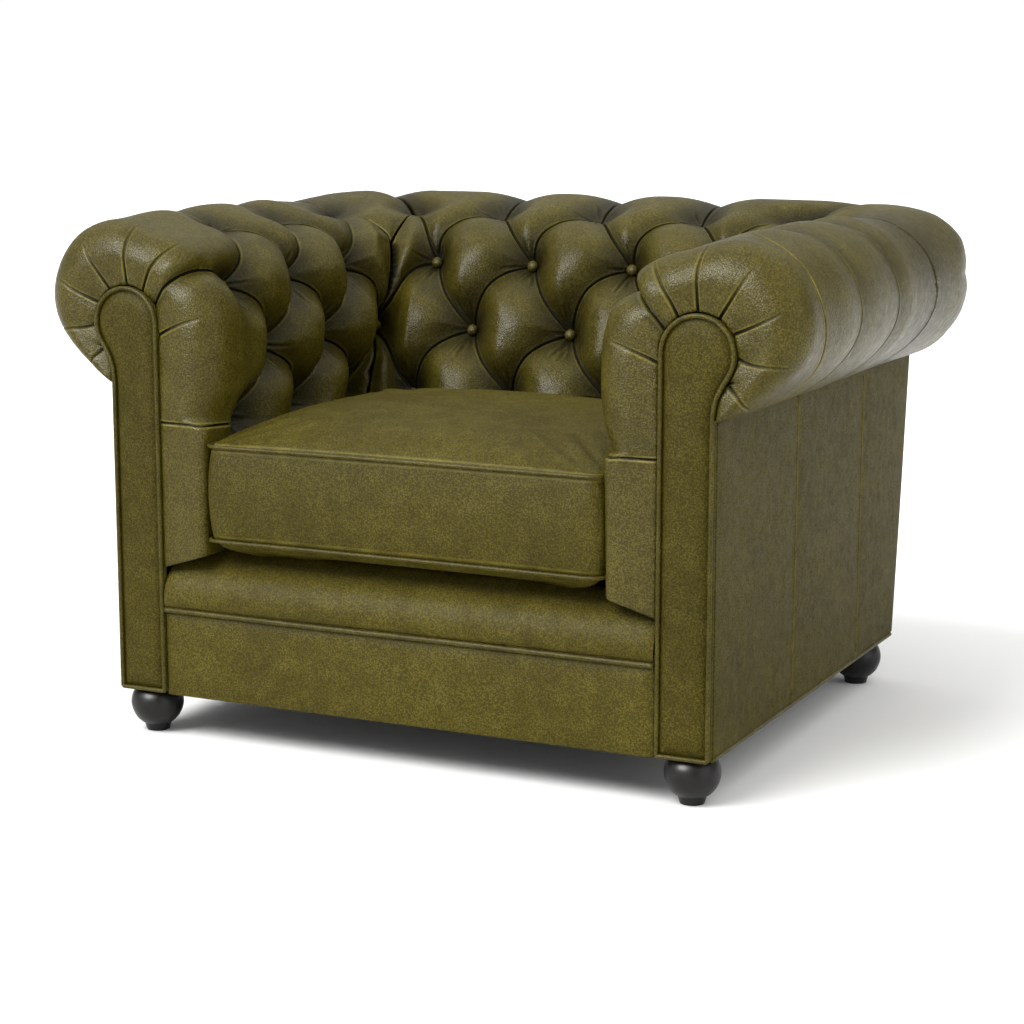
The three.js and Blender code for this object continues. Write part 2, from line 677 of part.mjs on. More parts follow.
// Outside panels of the arms and the back, and the cover under the frame
function makeOutsidePanels() {
  const top = rollFoot - gap;
  const rake = (outerBack - backFootDepth) / (rollFoot - bodyBottom);
  const backAt = (z) => backFootDepth + rake * (z - bodyBottom);
  const side = [[frontFace, bodyBottom], [backFootDepth, bodyBottom], [backAt(top), top], [frontFace, top]];
  const outside = crossPlate(side, bodyHalf - panelThickness, bodyHalf);
  add('outside_arm_right', outside, leather);
  add('outside_arm_left', crossPlate(side, -bodyHalf, panelThickness - bodyHalf), leather);
  const half = bodyHalf - panelThickness - gap;
  const back = [[backFootDepth - panelThickness, bodyBottom], [backFootDepth, bodyBottom],
    [backAt(top), top], [backAt(top) - panelThickness, top]];
  add('outside_back', crossPlate(back, -half, half), leather);
  const frontNotch = frontFace + 2 * gap + frontPostDepth;
  const backNotch = backPostFront - gap;
  const inner = postInner - gap;
  const corner = [[inner, frontFace + 2 * gap], [inner, frontNotch], [frameHalf, frontNotch],
    [frameHalf, backNotch], [inner, backNotch], [inner, frameBack]];
  const otherCorner = corner.map(([x, y]) => [-x, y]).reverse();
  const cover = new THREE.Shape([...corner, ...otherCorner].map(([x, y]) => new THREE.Vector2(x, y)));
  add('dust_cover', flatPlate(cover, bodyBottom, bodyBottom + coverThickness), fabric);
}

// Where a foot stands under its post
function footCentre(end, sign) {
  const y = end === 'front' ? frontFootInset : backFootDepth - backFootInset;
  return new THREE.Vector3((bodyHalf - footInset) * sign, y, 0);
}

// An upright post with the bore for its foot's bolt
function boredPost(front, back, top, centre) {
  const post = new THREE.BoxGeometry(postWidth, back - front, top - bodyBottom).translate(
    Math.sign(centre.x) * (frameHalf - postWidth / 2), (front + back) / 2, (top + bodyBottom) / 2);
  const low = bodyBottom - cutOverrun;
  const high = boltTop + gap;
  const segments = 16;
  const bore = new THREE.CylinderGeometry(boltRadius + gap, boltRadius + gap, high - low, segments)
    .rotateX(Math.PI / 2).translate(centre.x, centre.y, (low + high) / 2);
  return fromManifold(toManifold(post).subtract(toManifold(bore)));
}

// Hardwood frame
function makeFrame() {
  const postFront = frontFace + gap;
  const postBack = postFront + frontPostDepth;
  const postTop = rollBoardHeight - boardThickness - gap;
  const sideRailInner = frameHalf - sideRailWidth;
  const topRailBack = outerBack - panelThickness - 2 * gap - cutOverrun;
  const topRailFront = backFace + backPadTop + topRailClearance;
  const tackRailFront = backFace + backPadFoot + tackRailInset;
  const railTop = railBottom + railHeight;
  const frontRailTop = lipBottom - gap;
  const innerHalf = postInner - gap;
  addBlock('front_rail', [-innerHalf, postFront + gap, railBottom],
    [innerHalf, postFront + gap + railDepth, frontRailTop], timber);
  addBlock('back_rail', [-innerHalf, frameBack - railDepth, railBottom],
    [innerHalf, frameBack, railTop], timber);
  addBlock('back_top_rail', [-frameHalf + gap, topRailFront, rollBoardHeight - boardThickness],
    [frameHalf - gap, topRailBack, rollBoardHeight], timber);
  addBlock('back_tack_rail', [-innerHalf, tackRailFront, tackRailBottom],
    [innerHalf, tackRailFront + tackRailThickness, tackRailBottom + tackRailHeight], timber);
  for (const [side, sign] of sides) {
    const piece = (name, low, high) => addBlock(`${name}_${side}`, ...mirrored(low, high, sign), timber);
    const edges = { front: [postFront, postBack], back: [backPostFront, frameBack] };
    for (const end of ends) {
      const [low, high] = edges[end];
      add(`${end}_post_${side}`, boredPost(low, high, postTop, footCentre(end, sign)), timber);
    }
    piece('side_rail', [sideRailInner, postBack + gap, railBottom],
      [frameHalf, backPostFront - gap, railTop]);
    piece('roll_board', [postInner, postFront, rollBoardHeight - boardThickness],
      [frameHalf, topRailFront - gap, rollBoardHeight]);
    piece('arm_tack_rail', [postInner, postBack + gap, tackRailBottom],
      [postInner + tackRailThickness, backPostFront - gap, tackRailBottom + tackRailHeight]);
  }
  addBlock('seat_deck', [-innerHalf, lipDepth + gap, tackRailBottom],
    [innerHalf, tackRailFront - gap, seatHeight], fabric);
}

// Bun feet, the bolts that hold them to the posts, and the blocks in the frame's corners
function makeFeet() {
  const bore = boltRadius + gap;
  const joinTurn = Math.asin((footBaseHeight - footBallHeight) / footRadius);
  const topTurn = Math.asin((footHeight - footBallHeight) / footRadius);
  const steps = 8;
  const footSegments = 20;
  const boltSegments = 10;
  // The base flares a little below the ball, and the bolt is eased at both ends
  const baseShares = [1.15, 0.9];
  const tipShare = 0.6;
  const headShare = 0.8;
  const ball = Array.from({ length: steps + 1 }, (_, step) => {
    const turn = lerp(joinTurn, topTurn, step / steps);
    return [footRadius * Math.cos(turn), footBallHeight + footRadius * Math.sin(turn)];
  });
  const foot = [[0, 0], [footBaseRadius, 0], [footBaseRadius * baseShares[0], footBaseHeight * baseShares[1]],
    ...ball, [bore, footHeight], [bore, boltBottom], [0, boltBottom]];
  const bolt = [[0, boltBottom + gap], [boltRadius * tipShare, boltBottom + gap],
    [boltRadius, boltBottom + boltRadius], [boltRadius, boltTop - boltRadius / 2],
    [boltRadius * headShare, boltTop], [0, boltTop]];
  const blockOuter = frameHalf - sideRailWidth - gap;
  const blockInner = blockOuter - blockLength;
  const blockFront = frontFace + 2 * gap + railDepth + gap;
  const blockBack = frameBack - railDepth - gap;
  const blockTop = railBottom + railHeight;
  for (const end of ends) {
    for (const [side, sign] of sides) {
      const centre = footCentre(end, sign);
      add(`foot_${end}_${side}`, turned(foot, footSegments), blackWood, centre);
      add(`foot_bolt_${end}_${side}`, turned(bolt, boltSegments), steel, centre);
      const postFace = end === 'front' ? frontFace + gap + frontPostDepth + gap : backPostFront - gap;
      const railFace = end === 'front' ? blockFront : blockBack;
      const inner = postInner - gap;
      const points = end === 'front'
        ? [[blockOuter, postFace], [blockOuter, postFace + blockLength], [inner, postFace + blockLength],
          [blockInner, postFace]]
        : [[inner, railFace], [inner, railFace - blockLength], [blockInner, railFace]];
      const shape = new THREE.Shape(points.map(([x, y]) => new THREE.Vector2(x * sign, y)));
      add(`corner_block_${end}_${side}`, flatPlate(shape, railBottom, blockTop), timber);
    }
  }
}

// Zigzag springs, arched from the front rail to the back rail
function makeSprings() {
  const start = frontFace + 2 * gap + railDepth + springWire + 2 * gap;
  const stop = frameBack - railDepth - springWire - gap;
  const spacing = (2 * postInner) / (springCount + 1);
  const perWave = 4;
  const wireFacets = 4;
  const swingShares = [0, 1, 1, 0, 0, -1, -1, 0];
  for (let spring = 0; spring < springCount; spring += 1) {
    const middle = spacing * (spring + 1) - postInner;
    const steps = springWaves * perWave;
    const path = Array.from({ length: steps + 1 }, (_, step) => {
      const share = step / steps;
      const rise = springCrown * Math.sin(Math.PI * share);
      const aside = swingShares[step % swingShares.length] * (springWidth / 2);
      return new THREE.Vector3(middle + aside, lerp(start, stop, share), springEnd + rise);
    });
    const wire = cordAlong(path, springWire, wireFacets, new THREE.Vector3(0, 0, 1));
    add(`seat_spring_${spring + 1}`, wire, steel);
  }
}

// One level of the cushion: a rectangle with round corners whose sides are drawn in
function cushionLoop(halfWidth, halfDepth, radius, z, draw) {
  const cornerSteps = 4;
  const sideSteps = 4;
  const corners = [[1, -1, -0.5], [1, 1, 0], [-1, 1, 0.5], [-1, -1, 1]];
  const loop = corners.flatMap(([signX, signY, startTurn]) => (
    Array.from({ length: cornerSteps + 1 }, (_, step) => {
      const turn = (startTurn + step / cornerSteps / 2) * Math.PI;
      return new THREE.Vector3(
        signX * (halfWidth - radius) + radius * Math.cos(turn),
        signY * (halfDepth - radius) + radius * Math.sin(turn), z);
    })));
  const perCorner = cornerSteps + 1;
  return loop.flatMap((point, index) => {
    if (index % perCorner !== perCorner - 1) return [point];
    const next = loop[(index + 1) % loop.length];
    const between = Array.from({ length: sideSteps - 1 }, (_, step) => {
      const share = (step + 1) / sideSteps;
      const inward = draw * Math.sin(Math.PI * share);
      const middle = point.clone().lerp(next, share);
      const alongX = Math.abs(next.x - point.x) > Math.abs(next.y - point.y);
      if (alongX) middle.y -= Math.sign(middle.y) * inward;
      else middle.x -= Math.sign(middle.x) * inward;
      return middle;
    });
    return [point, ...between];
  });
}

// The cushion's closed form, wall deep inside its outer face
function cushionForm(halfWidth, halfDepth, wall) {
  const bottom = padBottom + wall;
  const seamLow = padBottom + cushionBottomCrown;
  const seamHigh = seamLow + cushionBoxing;
  const top = seamHigh + cushionTopCrown - wall;
  const crownShares = [[0.06, 0.35], [0.25, 0.68], [0.55, 0.92], [0.84, 1]];
  const roundShare = 0.8;
  const growShare = 0.25;
  const reach = Math.min(halfWidth, halfDepth);
  const level = (inset, z, draw) => {
    const width = halfWidth - wall - inset;
    const depth = halfDepth - wall - inset;
    const radius = Math.min(cushionCorner - wall + inset * growShare, Math.min(width, depth) * roundShare);
    return cushionLoop(width, depth, radius, z, draw);
  };
  const under = crownShares.map(([way, up]) => level(way * reach, lerp(seamLow, bottom, up), sideDraw));
  const over = crownShares.map(([way, up]) => level(way * reach, lerp(seamHigh, top, up), sideDraw));
  const middle = (seamLow + seamHigh) / 2;
  const loops = [...under.reverse(), level(boxingBulge, seamLow, sideDraw), level(0, middle, 0),
    level(boxingBulge, seamHigh, sideDraw), ...over];
  return loft(loops, (point) => new THREE.Vector2(point.x, point.y));
}

function toManifold(geometry) {
  const bare = geometry.clone();
  bare.deleteAttribute('normal');
  bare.deleteAttribute('uv');
  const merged = mergeVertices(bare);
  return new wasm.Manifold(new wasm.Mesh({
    numProp: 3,
    vertProperties: new Float32Array(merged.attributes.position.array),
    triVerts: new Uint32Array(merged.index.array),
  }));
}

function fromManifold(solid) {
  const mesh = solid.getMesh();
  return geometryFrom(Array.from(mesh.vertProperties), Array.from(mesh.triVerts));
}

// Seat cushion: leather cover with a zip slot in its rear border, foam core, zip and slider
function makeCushion() {
  const cushionRows = [0, 0.5, 1];
  const seatFace = Math.min(...cushionRows.map((row) => armCrest.getPoint(row / lastRow).x));
  const halfWidth = seatFace - cushionSideGap;
  const zipLength = 2 * (halfWidth - zipEnd);
  const rear = backFace - cushionBackGap;
  const halfDepth = (rear - cushionFront) / 2;
  const centre = new THREE.Vector3(0, rear - halfDepth, 0);
  const slotMiddle = padBottom + cushionBottomCrown + cushionBoxing / 2;
  const slot = new THREE.BoxGeometry(zipLength, coverWall + 2 * cutOverrun, zipHeight)
    .translate(0, halfDepth - coverWall / 2, slotMiddle);
  const shell = toManifold(cushionForm(halfWidth, halfDepth, 0))
    .subtract(toManifold(cushionForm(halfWidth, halfDepth, coverWall)))
    .subtract(toManifold(slot));
  add('cushion_cover', fromManifold(shell), leather, centre);
  add('cushion_core', cushionForm(halfWidth, halfDepth, coverWall + gap), foam, centre);
  const tapeBack = rear - gap;
  addBlock('cushion_zip', [gap - zipLength / 2, tapeBack - tapeThickness, slotMiddle + gap - zipHeight / 2],
    [zipLength / 2 - gap, tapeBack, slotMiddle + zipHeight / 2 - gap], fabric);
  const halfSlider = sliderHeight / 2;
  const outlinePoints = [[-sliderLength / 2, halfSlider], [-sliderLength / 2, -halfSlider],
    [-pullWidth / 2, -halfSlider], [-pullWidth / 2, -pullLength], [pullWidth / 2, -pullLength],
    [pullWidth / 2, -halfSlider], [sliderLength / 2, -halfSlider], [sliderLength / 2, halfSlider]];
  const shape = new THREE.Shape(outlinePoints.map(([x, z]) => new THREE.Vector2(x, z)));
  const slider = new THREE.ExtrudeGeometry(shape, { depth: sliderThickness, bevelEnabled: false })
    .rotateX(Math.PI / 2);
  add('zip_slider', slider, brass, new THREE.Vector3(
    zipLength / 2 - sliderLength, rear + gap + sliderThickness, slotMiddle));
}

makeArmPads();
makeBackPad();
makeButtons();
makeFacings();
makeFront();
makeOutsidePanels();
makeFrame();
makeFeet();
makeSprings();
makeCushion();

// Stand the chair on the floor with its middle over the origin
const bounds = new THREE.Box3().setFromObject(chair, true);
chair.position.y = -(bounds.min.y + bounds.max.y) / 2;
chair.updateMatrixWorld(true);

export default chair;
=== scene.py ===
import math

import bpy
import numpy as np
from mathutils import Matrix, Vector
from mathutils.geometry import delaunay_2d_cdt
from mathutils.kdtree import KDTree


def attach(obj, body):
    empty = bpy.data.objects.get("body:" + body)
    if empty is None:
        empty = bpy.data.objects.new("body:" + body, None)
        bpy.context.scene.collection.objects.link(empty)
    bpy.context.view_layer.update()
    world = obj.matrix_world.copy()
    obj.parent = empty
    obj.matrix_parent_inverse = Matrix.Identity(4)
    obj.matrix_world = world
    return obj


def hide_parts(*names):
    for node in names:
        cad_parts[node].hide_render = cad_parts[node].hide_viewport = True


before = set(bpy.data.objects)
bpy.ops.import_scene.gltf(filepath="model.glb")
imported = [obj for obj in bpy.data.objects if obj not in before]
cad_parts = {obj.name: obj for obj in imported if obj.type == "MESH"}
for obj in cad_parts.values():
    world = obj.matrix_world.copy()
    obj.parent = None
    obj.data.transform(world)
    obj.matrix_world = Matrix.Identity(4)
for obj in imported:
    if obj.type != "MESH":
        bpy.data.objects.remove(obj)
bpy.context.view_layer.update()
scene = bpy.context.scene
scene.view_settings.view_transform = "Standard"
CHAIR = "chair"
CUSHION = "seat_cushion"

# Sizes, as in the part's source
overall_width, overall_depth, overall_height = 1154.0, 912.0, 742.0
arm_width, back_width = 291.0, 460.0
arm_overhang, back_overhang = 127.0, 72.0
corner_radius = 254.0
body_bottom, seat_height, back_foot_depth = 63.0, 268.7, 785.0
facing_width, head_radius, ring_width = 79.0, 53.0, 101.0
panel_thickness, gap = 8.4, 0.3
ring_proud, ring_edge, ring_fold, neck_lift, neck_drop, strip_drop = 7.0, 1.0, 9.0, 4.0, 85.0, 22.0
first_column, corner_inset = 45.0, 113.0
tuft_reach, pleat_reach, seam_reach, ring_length = 76.0, 60.0, 26.0, 100.0
roll_reach, corner_reach, ring_seam_reach = 76.0, 40.0, 12.0
corner_low_reach, corner_roll_reach = 60.0, 50.0
facing_puff, facing_flange = 8.5, 6.0
strip_corner = 12.0
roll_draw, front_draw, back_sag, pillow_lean = 0.04, 0.05, 4.0, 7.0
body_half = overall_width / 2 - arm_overhang
arm_face = overall_width / 2 - arm_width
back_face = overall_depth - back_width
outer_back = overall_depth - back_overhang
pad_bottom = seat_height + gap
pad_height = overall_height - pad_bottom
facing_inner = body_half - facing_width
head_x = facing_inner + head_radius
head_z = overall_height - ring_width - head_radius
roll_foot = head_z - neck_drop
Y_SHIFT = -(overall_depth - facing_puff) / 2

arm_crest_shares = [(0.052, 0), (0.038, 0.3615), (0, 0.5687), (0.031, 0.776), (0.172, 0.896),
                    (0.385, 0.966), (0.605, 1), (0.804, 0.968), (0.935, 0.89), (1, 0.784)]
arm_valley_shares = [(0.203, 0), (0.261, 0.3615), (0.261, 0.5687), (0.254, 0.763), (0.34, 0.852),
                     (0.443, 0.911), (0.605, 0.951), (0.78, 0.941), (0.904, 0.877), (0.966, 0.78)]
back_crest_shares = [(0, 0), (0.05, 0.3615), (0.117, 0.5835), (0.209, 0.801), (0.322, 0.92),
                     (0.446, 0.975), (0.598, 1), (0.761, 0.9725), (0.904, 0.894), (1, 0.784)]
back_valley_shares = [(0.104, 0), (0.165, 0.353), (0.254, 0.558), (0.346, 0.763), (0.413, 0.852),
                      (0.478, 0.911), (0.598, 0.958), (0.75, 0.945), (0.887, 0.879), (0.978, 0.78)]
crest_under_shares = [(0.95, 0.683), (0.7, 0.59), (0.33, 0.522)]
valley_under_shares = [(0.882, 0.687), (0.661, 0.6), (0.3, 0.531)]
corner_shares = np.array([0.12, 0.12, 0.12, 0.12, 0.16, 0.24, 0.35, 0.44, 0.63, 1, 0.9, 0.7, 0.31, 0.04])
head_turn_shares = np.array([1, 0.739, 0.6, 0.456, 0.311, 0.167, 0.022, -0.122])
neck_shares = [(0.43, 0.53), (0.1, 0.3)]
# Rows run from the seat up and over the roll. A column's mirror image is MIRROR less the column
LAST, HEAD_ROW, NECK_ROW = 13, 3, 10
ARM_END, CORNER, BACK_START, MIDDLE, MIRROR = 5, 6, 7, 10, 20


# Curves and the cover's surface
def spline(points, share):
    """Uniform Catmull-Rom curve through the points, at shares 0 to 1."""
    points = np.asarray(points, float)
    last = len(points) - 1
    place = np.clip(np.asarray(share, float), 0, 1) * last
    i = np.minimum(place.astype(int), last - 1)
    t = (place - i)[..., None]
    p0, p1 = points[np.maximum(i - 1, 0)], points[i]
    p2, p3 = points[np.minimum(i + 1, last)], points[np.minimum(i + 2, last)]
    v0, v1 = (p2 - p0) / 2, (p3 - p1) / 2
    return ((2 * p1 - 2 * p2 + v0 + v1) * t + (-3 * p1 + 3 * p2 - 2 * v0 - v1)) * t * t + v0 * t + p1


def outline(face, width, panel, overhang, upper, under):
    """A section of the pad: up its face, over its roll and down to the panel it ends on."""
    points = [(face + width * a, pad_bottom + pad_height * u) for a, u in upper]
    points += [(panel + overhang * a, pad_bottom + pad_height * u) for a, u in under]
    return np.array(points + [(panel, roll_foot)])


arm_sizes = (arm_face, arm_width, body_half, arm_overhang)
back_sizes = (back_face, back_width, outer_back, back_overhang)
arm_crest = outline(*arm_sizes, arm_crest_shares, crest_under_shares)
arm_valley = outline(*arm_sizes, arm_valley_shares, valley_under_shares)
back_crest = outline(*back_sizes, back_crest_shares, crest_under_shares)
back_valley = outline(*back_sizes, back_valley_shares, valley_under_shares)

straight_shares = (0.536, 0.843)
straight_heights = np.array([pad_bottom - strip_drop]
                            + [pad_bottom + (head_z - pad_bottom) * up for up in straight_shares] + [head_z])


def head_point(row):
    """A point on the round head of the arm front."""
    turn = np.interp(row - HEAD_ROW, np.arange(len(head_turn_shares)), head_turn_shares) * np.pi
    return np.stack([head_x + head_radius * np.cos(turn), head_z + head_radius * np.sin(turn)], -1)


neck_width = head_x + head_radius - body_half
neck_line = np.array([head_point(np.array(NECK_ROW - 1.0)), head_point(np.array(float(NECK_ROW)))]
                     + [(body_half + neck_width * a, roll_foot + (head_z - roll_foot) * u)
                        for a, u in neck_shares] + [(body_half, roll_foot + neck_lift)])


def keyhole(row):
    """The outline of the arm front, from its inner foot over the head to its outer neck."""
    row = np.asarray(row, float)
    low = np.stack([np.full_like(row, facing_inner), np.interp(row, np.arange(4), straight_heights)], -1)
    neck = spline(neck_line, (row - NECK_ROW + 1) / (LAST - NECK_ROW + 1))
    return np.where((row <= HEAD_ROW)[..., None], low,
                    np.where((row <= NECK_ROW)[..., None], head_point(row), neck))


last_arm_column = back_face + back_width * back_valley_shares[2][0] - corner_inset
last_back_column = arm_face + arm_width * arm_valley_shares[2][0] - corner_inset
half_pitch = (last_arm_column - first_column) / ARM_END


def plan_point(arm_x, back_y, radius, column):
    """Where a column stands in plan, at one level."""
    arm_end = np.minimum(last_arm_column, back_y - radius)
    back_end = np.minimum(last_back_column, arm_x - radius)
    half_arc = radius * np.pi / 4
    arm_leg = back_y - radius - arm_end
    back_leg = arm_x - radius - back_end
    along = np.where(column <= CORNER, (column - ARM_END) * (arm_leg + half_arc),
                     arm_leg + half_arc + (column - CORNER) * (half_arc + back_leg))
    turn = np.clip((along - arm_leg) / radius, 0, np.pi / 2)
    x = arm_x - radius + radius * np.cos(turn) - np.maximum(along - arm_leg - 2 * half_arc, 0)
    y = back_y - radius + radius * np.sin(turn) - np.maximum(arm_leg - along, 0)
    on_arm, on_back = column <= ARM_END, column >= BACK_START
    x = np.where(on_back, back_end * (1 - (column - BACK_START) / (MIDDLE - BACK_START)), x)
    x = np.where(on_arm, arm_x, x)
    y = np.where(on_back, back_y, y)
    y = np.where(on_arm, first_column + (arm_end - first_column) * column / ARM_END, y)
    return x, y


def smooth(x, low, high):
    """0 up to low, 1 from high on, and an even rise between."""
    t = np.clip((x - low) / (high - low), 0, 1)
    return t * t * (3 - 2 * t)


def window(x, low, full, fall, end):
    """0 outside low and end, 1 from full to fall."""
    return smooth(x, low, full) * (1 - smooth(x, fall, end))


def between(first, last, share):
    return first * (1 - share) + last * share


def unit(vectors):
    return vectors / np.maximum(np.linalg.norm(vectors, axis=-1, keepdims=True), 1e-12)


def running_length(points):
    """How far along a polyline each of its points lies."""
    return np.concatenate([[0], np.cumsum(np.linalg.norm(np.diff(points, axis=0), axis=1))])


# Where along the cover its shape changes, in columns and rows
corner_columns, front_columns, lean_columns = (ARM_END, BACK_START), (0, 1.7), (0.2, 1.0)
roll_rows, sag_rows, lean_rows = (3.6, 5.4, 11, 13), (3.2, 4.5), (1.1, 1.5, 2.5, 3.3)
square_rows, square_start_share = (1.02, 1.2), 0.4
ring_bend_share, ring_side_share = 0.7, 0.55


def cover(column, row, depth):
    """A point of the cover. Columns run -1..6 on the right arm, 6..14 on the back, 14..21 on the left."""
    column, row, depth = (np.asarray(v, float) for v in np.broadcast_arrays(column, row, depth))
    side = np.where(column > MIDDLE, -1.0, 1.0)
    local = np.where(column > MIDDLE, MIRROR - column, column)
    arm = between(spline(arm_crest, row / LAST), spline(arm_valley, row / LAST), depth[..., None])
    back = between(spline(back_crest, row / LAST), spline(back_valley, row / LAST), depth[..., None])
    radius = corner_radius * np.interp(row, np.arange(LAST + 1), corner_shares)
    behind = np.maximum(local, 0)
    x, y = plan_point(arm[..., 0], back[..., 0], radius, behind)
    blend = smooth(behind, *corner_columns)
    z = between(arm[..., 1], back[..., 1], blend) - back_sag * blend * smooth(row, *sag_rows)
    # the arm's roll is drawn in a little all along, more so at its front end
    around = window(row, *roll_rows) * (1 - blend)
    draw = (roll_draw + front_draw * (1 - smooth(local, *front_columns))) * around
    x = x + (head_x - x) * draw
    z = z + (head_z - z) * draw
    x = x - pillow_lean * window(row, *lean_rows) * (1 - smooth(local, *lean_columns))
    share = np.clip(-local, 0, 1)
    turn = np.minimum(share / ring_bend_share, 1) * np.pi / 2
    rest = np.clip((share - ring_bend_share) / (1 - ring_bend_share), 0, 1)
    across = ring_side_share * (1 - np.cos(turn)) + (1 - ring_side_share) * rest
    front = first_column - (first_column + ring_proud) * np.sin(turn)
    rim = keyhole(row)
    # below the ring the inner corner of the strip is nearly square
    square = 1 - smooth(row, *square_rows)
    turn = np.clip((share - square_start_share) / (ring_bend_share - square_start_share), 0, 1) * np.pi / 2
    narrow = strip_corner / np.maximum(np.abs(rim[..., 0] - x), strip_corner)
    square_across = narrow * (1 - np.cos(turn)) + (1 - narrow) * rest
    reached = np.clip(share / square_start_share, 0, 1)
    square_front = between(first_column, strip_corner - ring_proud, reached) - strip_corner * np.sin(turn)
    across = between(across, square_across, square)
    front = between(front, square_front, square) + (ring_proud - ring_edge) * rest + depth * ring_fold
    ring = np.stack([between(x, rim[..., 0], across), front, between(z, rim[..., 1], across)], -1)
    body = np.stack([x, y, z], -1)
    point = np.where((local < 0)[..., None], ring, body)
    point[..., 0] *= side
    return point


row_lengths = np.concatenate([[0], np.cumsum(np.hypot(*np.diff(arm_crest, axis=0).T))])


def to_cloth(places):
    """Columns and rows to millimetres on the flat cover."""
    places = np.asarray(places, float)
    column = places[..., 0]
    # the ring on the far side has the same length as the one on this side
    u = np.where(column < 0, column * ring_length, column * half_pitch)
    return np.stack([u, np.interp(places[..., 1], np.arange(LAST + 1), row_lengths)], -1)


def from_cloth(points):
    u, v = points[..., 0], points[..., 1]
    column = np.where(u < 0, u / ring_length, u / half_pitch)
    return np.stack([column, np.interp(v, row_lengths, np.arange(LAST + 1))], -1)


# Tufts and pleats
SEAT_ROW, LOW_ROW, HIGH_ROW, ROLL_ROW = 1, 2, 3, 5
CORNER_FOLD = (CORNER, 3.4)
RING_PLEATS = [((-1, 2.72), (-0.72, 2.7), (-0.45, 2.68)), ((-1, 4.48), (-0.57, 4.33), (-0.15, 4.25)),
               ((-1, 5.65), (-0.66, 5.44), (-0.12, 5.4)), ((-1, 6.88), (-0.72, 6.9), (-0.45, 6.92)),
               ((-1, 8.0), (-0.77, 8.33), (-0.48, 8.48)), ((-1, 9.27), (-0.77, 9.95), (-0.34, 10.32)),
               ((-1, 10.77), (-0.75, 11.43), (-0.22, 12.05))]
RING_SEAM = [((1.0, 5.7), (0.42, 6.5), (0.27, 7.7)), ((0.27, 7.7), (0.31, 9.0), (0.6, 10.3)),
             ((0.6, 10.3), (0.84, 11.3), (0.9, 13))]
# The seams round the front pillow: start, middle, end, depths and reach
FRONT_PLEATS = [((-1, 3.66), (-0.42, 3.53), (0.22, 3.4), (0.7, 0.35), 34.0),
                ((0.22, 3.4), (0.7, 3.26), (1, HIGH_ROW), (0.35, 0.7), 44.0),
                ((1, SEAT_ROW), None, (0, 1.06), (0.4, 0.12), pleat_reach),
                ((0, 1.06), None, (-1, 1.12), (0.12, 0.03), seam_reach)]
# How far a pleat bulges aside, as a share of its length
ARC, STRAIGHT, SLIGHT = 0.145, -0.03, -0.04
TUFT_DEPTHS, SEAT_DEPTHS, CORNER_DEPTHS = (0.45, 0.45), (0.4, 0.2), (0.3, 0.3)
FADING, RING_FADING = (1, 0.6), (1, 0.15)


class Pleat:
    """A fold between two places: its flat line, how deep it is at each end and how far it reaches."""

    def __init__(self, start, end, depths=TUFT_DEPTHS, reach=pleat_reach, bulge=0.0, sharp=(1, 1), via=None):
        self.depths, self.reach = depths, reach
        a, b = to_cloth(start), to_cloth(end)
        t = np.linspace(0, 1, 25)[:, None]
        if via is not None:
            middle = 2 * to_cloth(via) - (a + b) / 2
        else:
            normal = np.array([-(b - a)[1], (b - a)[0]])
            middle = (a + b) / 2 + normal * bulge * 2
        self.line = (1 - t) ** 2 * a + 2 * t * (1 - t) * middle + t ** 2 * b
        self.sharp = np.interp(t[:, 0], [0, 1], sharp)


def arm_pleats():
    """Pleats of one arm, in its own columns: curved where they fall to the rear, straight otherwise."""
    pleats = []
    for odd in (1, 3, 5):
        for even in (2, 4, 6):
            if even - odd == 1:
                pleats.append(Pleat((odd, HIGH_ROW), (even, LOW_ROW), bulge=ARC))
                pleats.append(Pleat((odd, SEAT_ROW), (even, LOW_ROW), bulge=STRAIGHT))
            if odd - even == 1:
                pleats.append(Pleat((even, LOW_ROW), (odd, HIGH_ROW), bulge=SLIGHT))
                pleats.append(Pleat((even, LOW_ROW), (odd, SEAT_ROW), bulge=ARC))
        for roll in (2, 4, 5.5):
            if 0 < roll - odd <= 1:
                pleats.append(Pleat((odd, HIGH_ROW), (roll, ROLL_ROW), bulge=2 * SLIGHT))
            if 0 < odd - roll <= 1:
                pleats.append(Pleat((roll, ROLL_ROW), (odd, HIGH_ROW), bulge=ARC))
        pleats.append(Pleat((odd, SEAT_ROW), (odd + 0.15, 0), SEAT_DEPTHS, sharp=FADING))
    pleats.append(Pleat((5.5, ROLL_ROW), CORNER_FOLD, CORNER_DEPTHS, corner_reach, bulge=-SLIGHT))
    for column in (2, 4):
        pleats.append(Pleat((column, ROLL_ROW), (column, LAST), (0.55, 0.4), roll_reach))
    pleats.append(Pleat((5.5, ROLL_ROW), (5.25, 7), (0.55, 0.5), roll_reach))
    pleats.append(Pleat((5.25, 7), (5.25, LAST), (0.5, 0.4), roll_reach))
    for k, (start, via, end) in enumerate(RING_SEAM):
        depths, sharp = ((0.12, 0.12), (1, 1)) if k else ((0, 0.12), (0, 1))
        pleats.append(Pleat(start, end, depths, ring_seam_reach, via=via, sharp=sharp))
    for start, via, end, depths, reach in FRONT_PLEATS:
        pleats.append(Pleat(start, end, depths, reach, via=via))
    for start, via, end in RING_PLEATS:
        pleats.append(Pleat(start, end, (0.45, 0.0), seam_reach, via=via, sharp=RING_FADING))
    return pleats


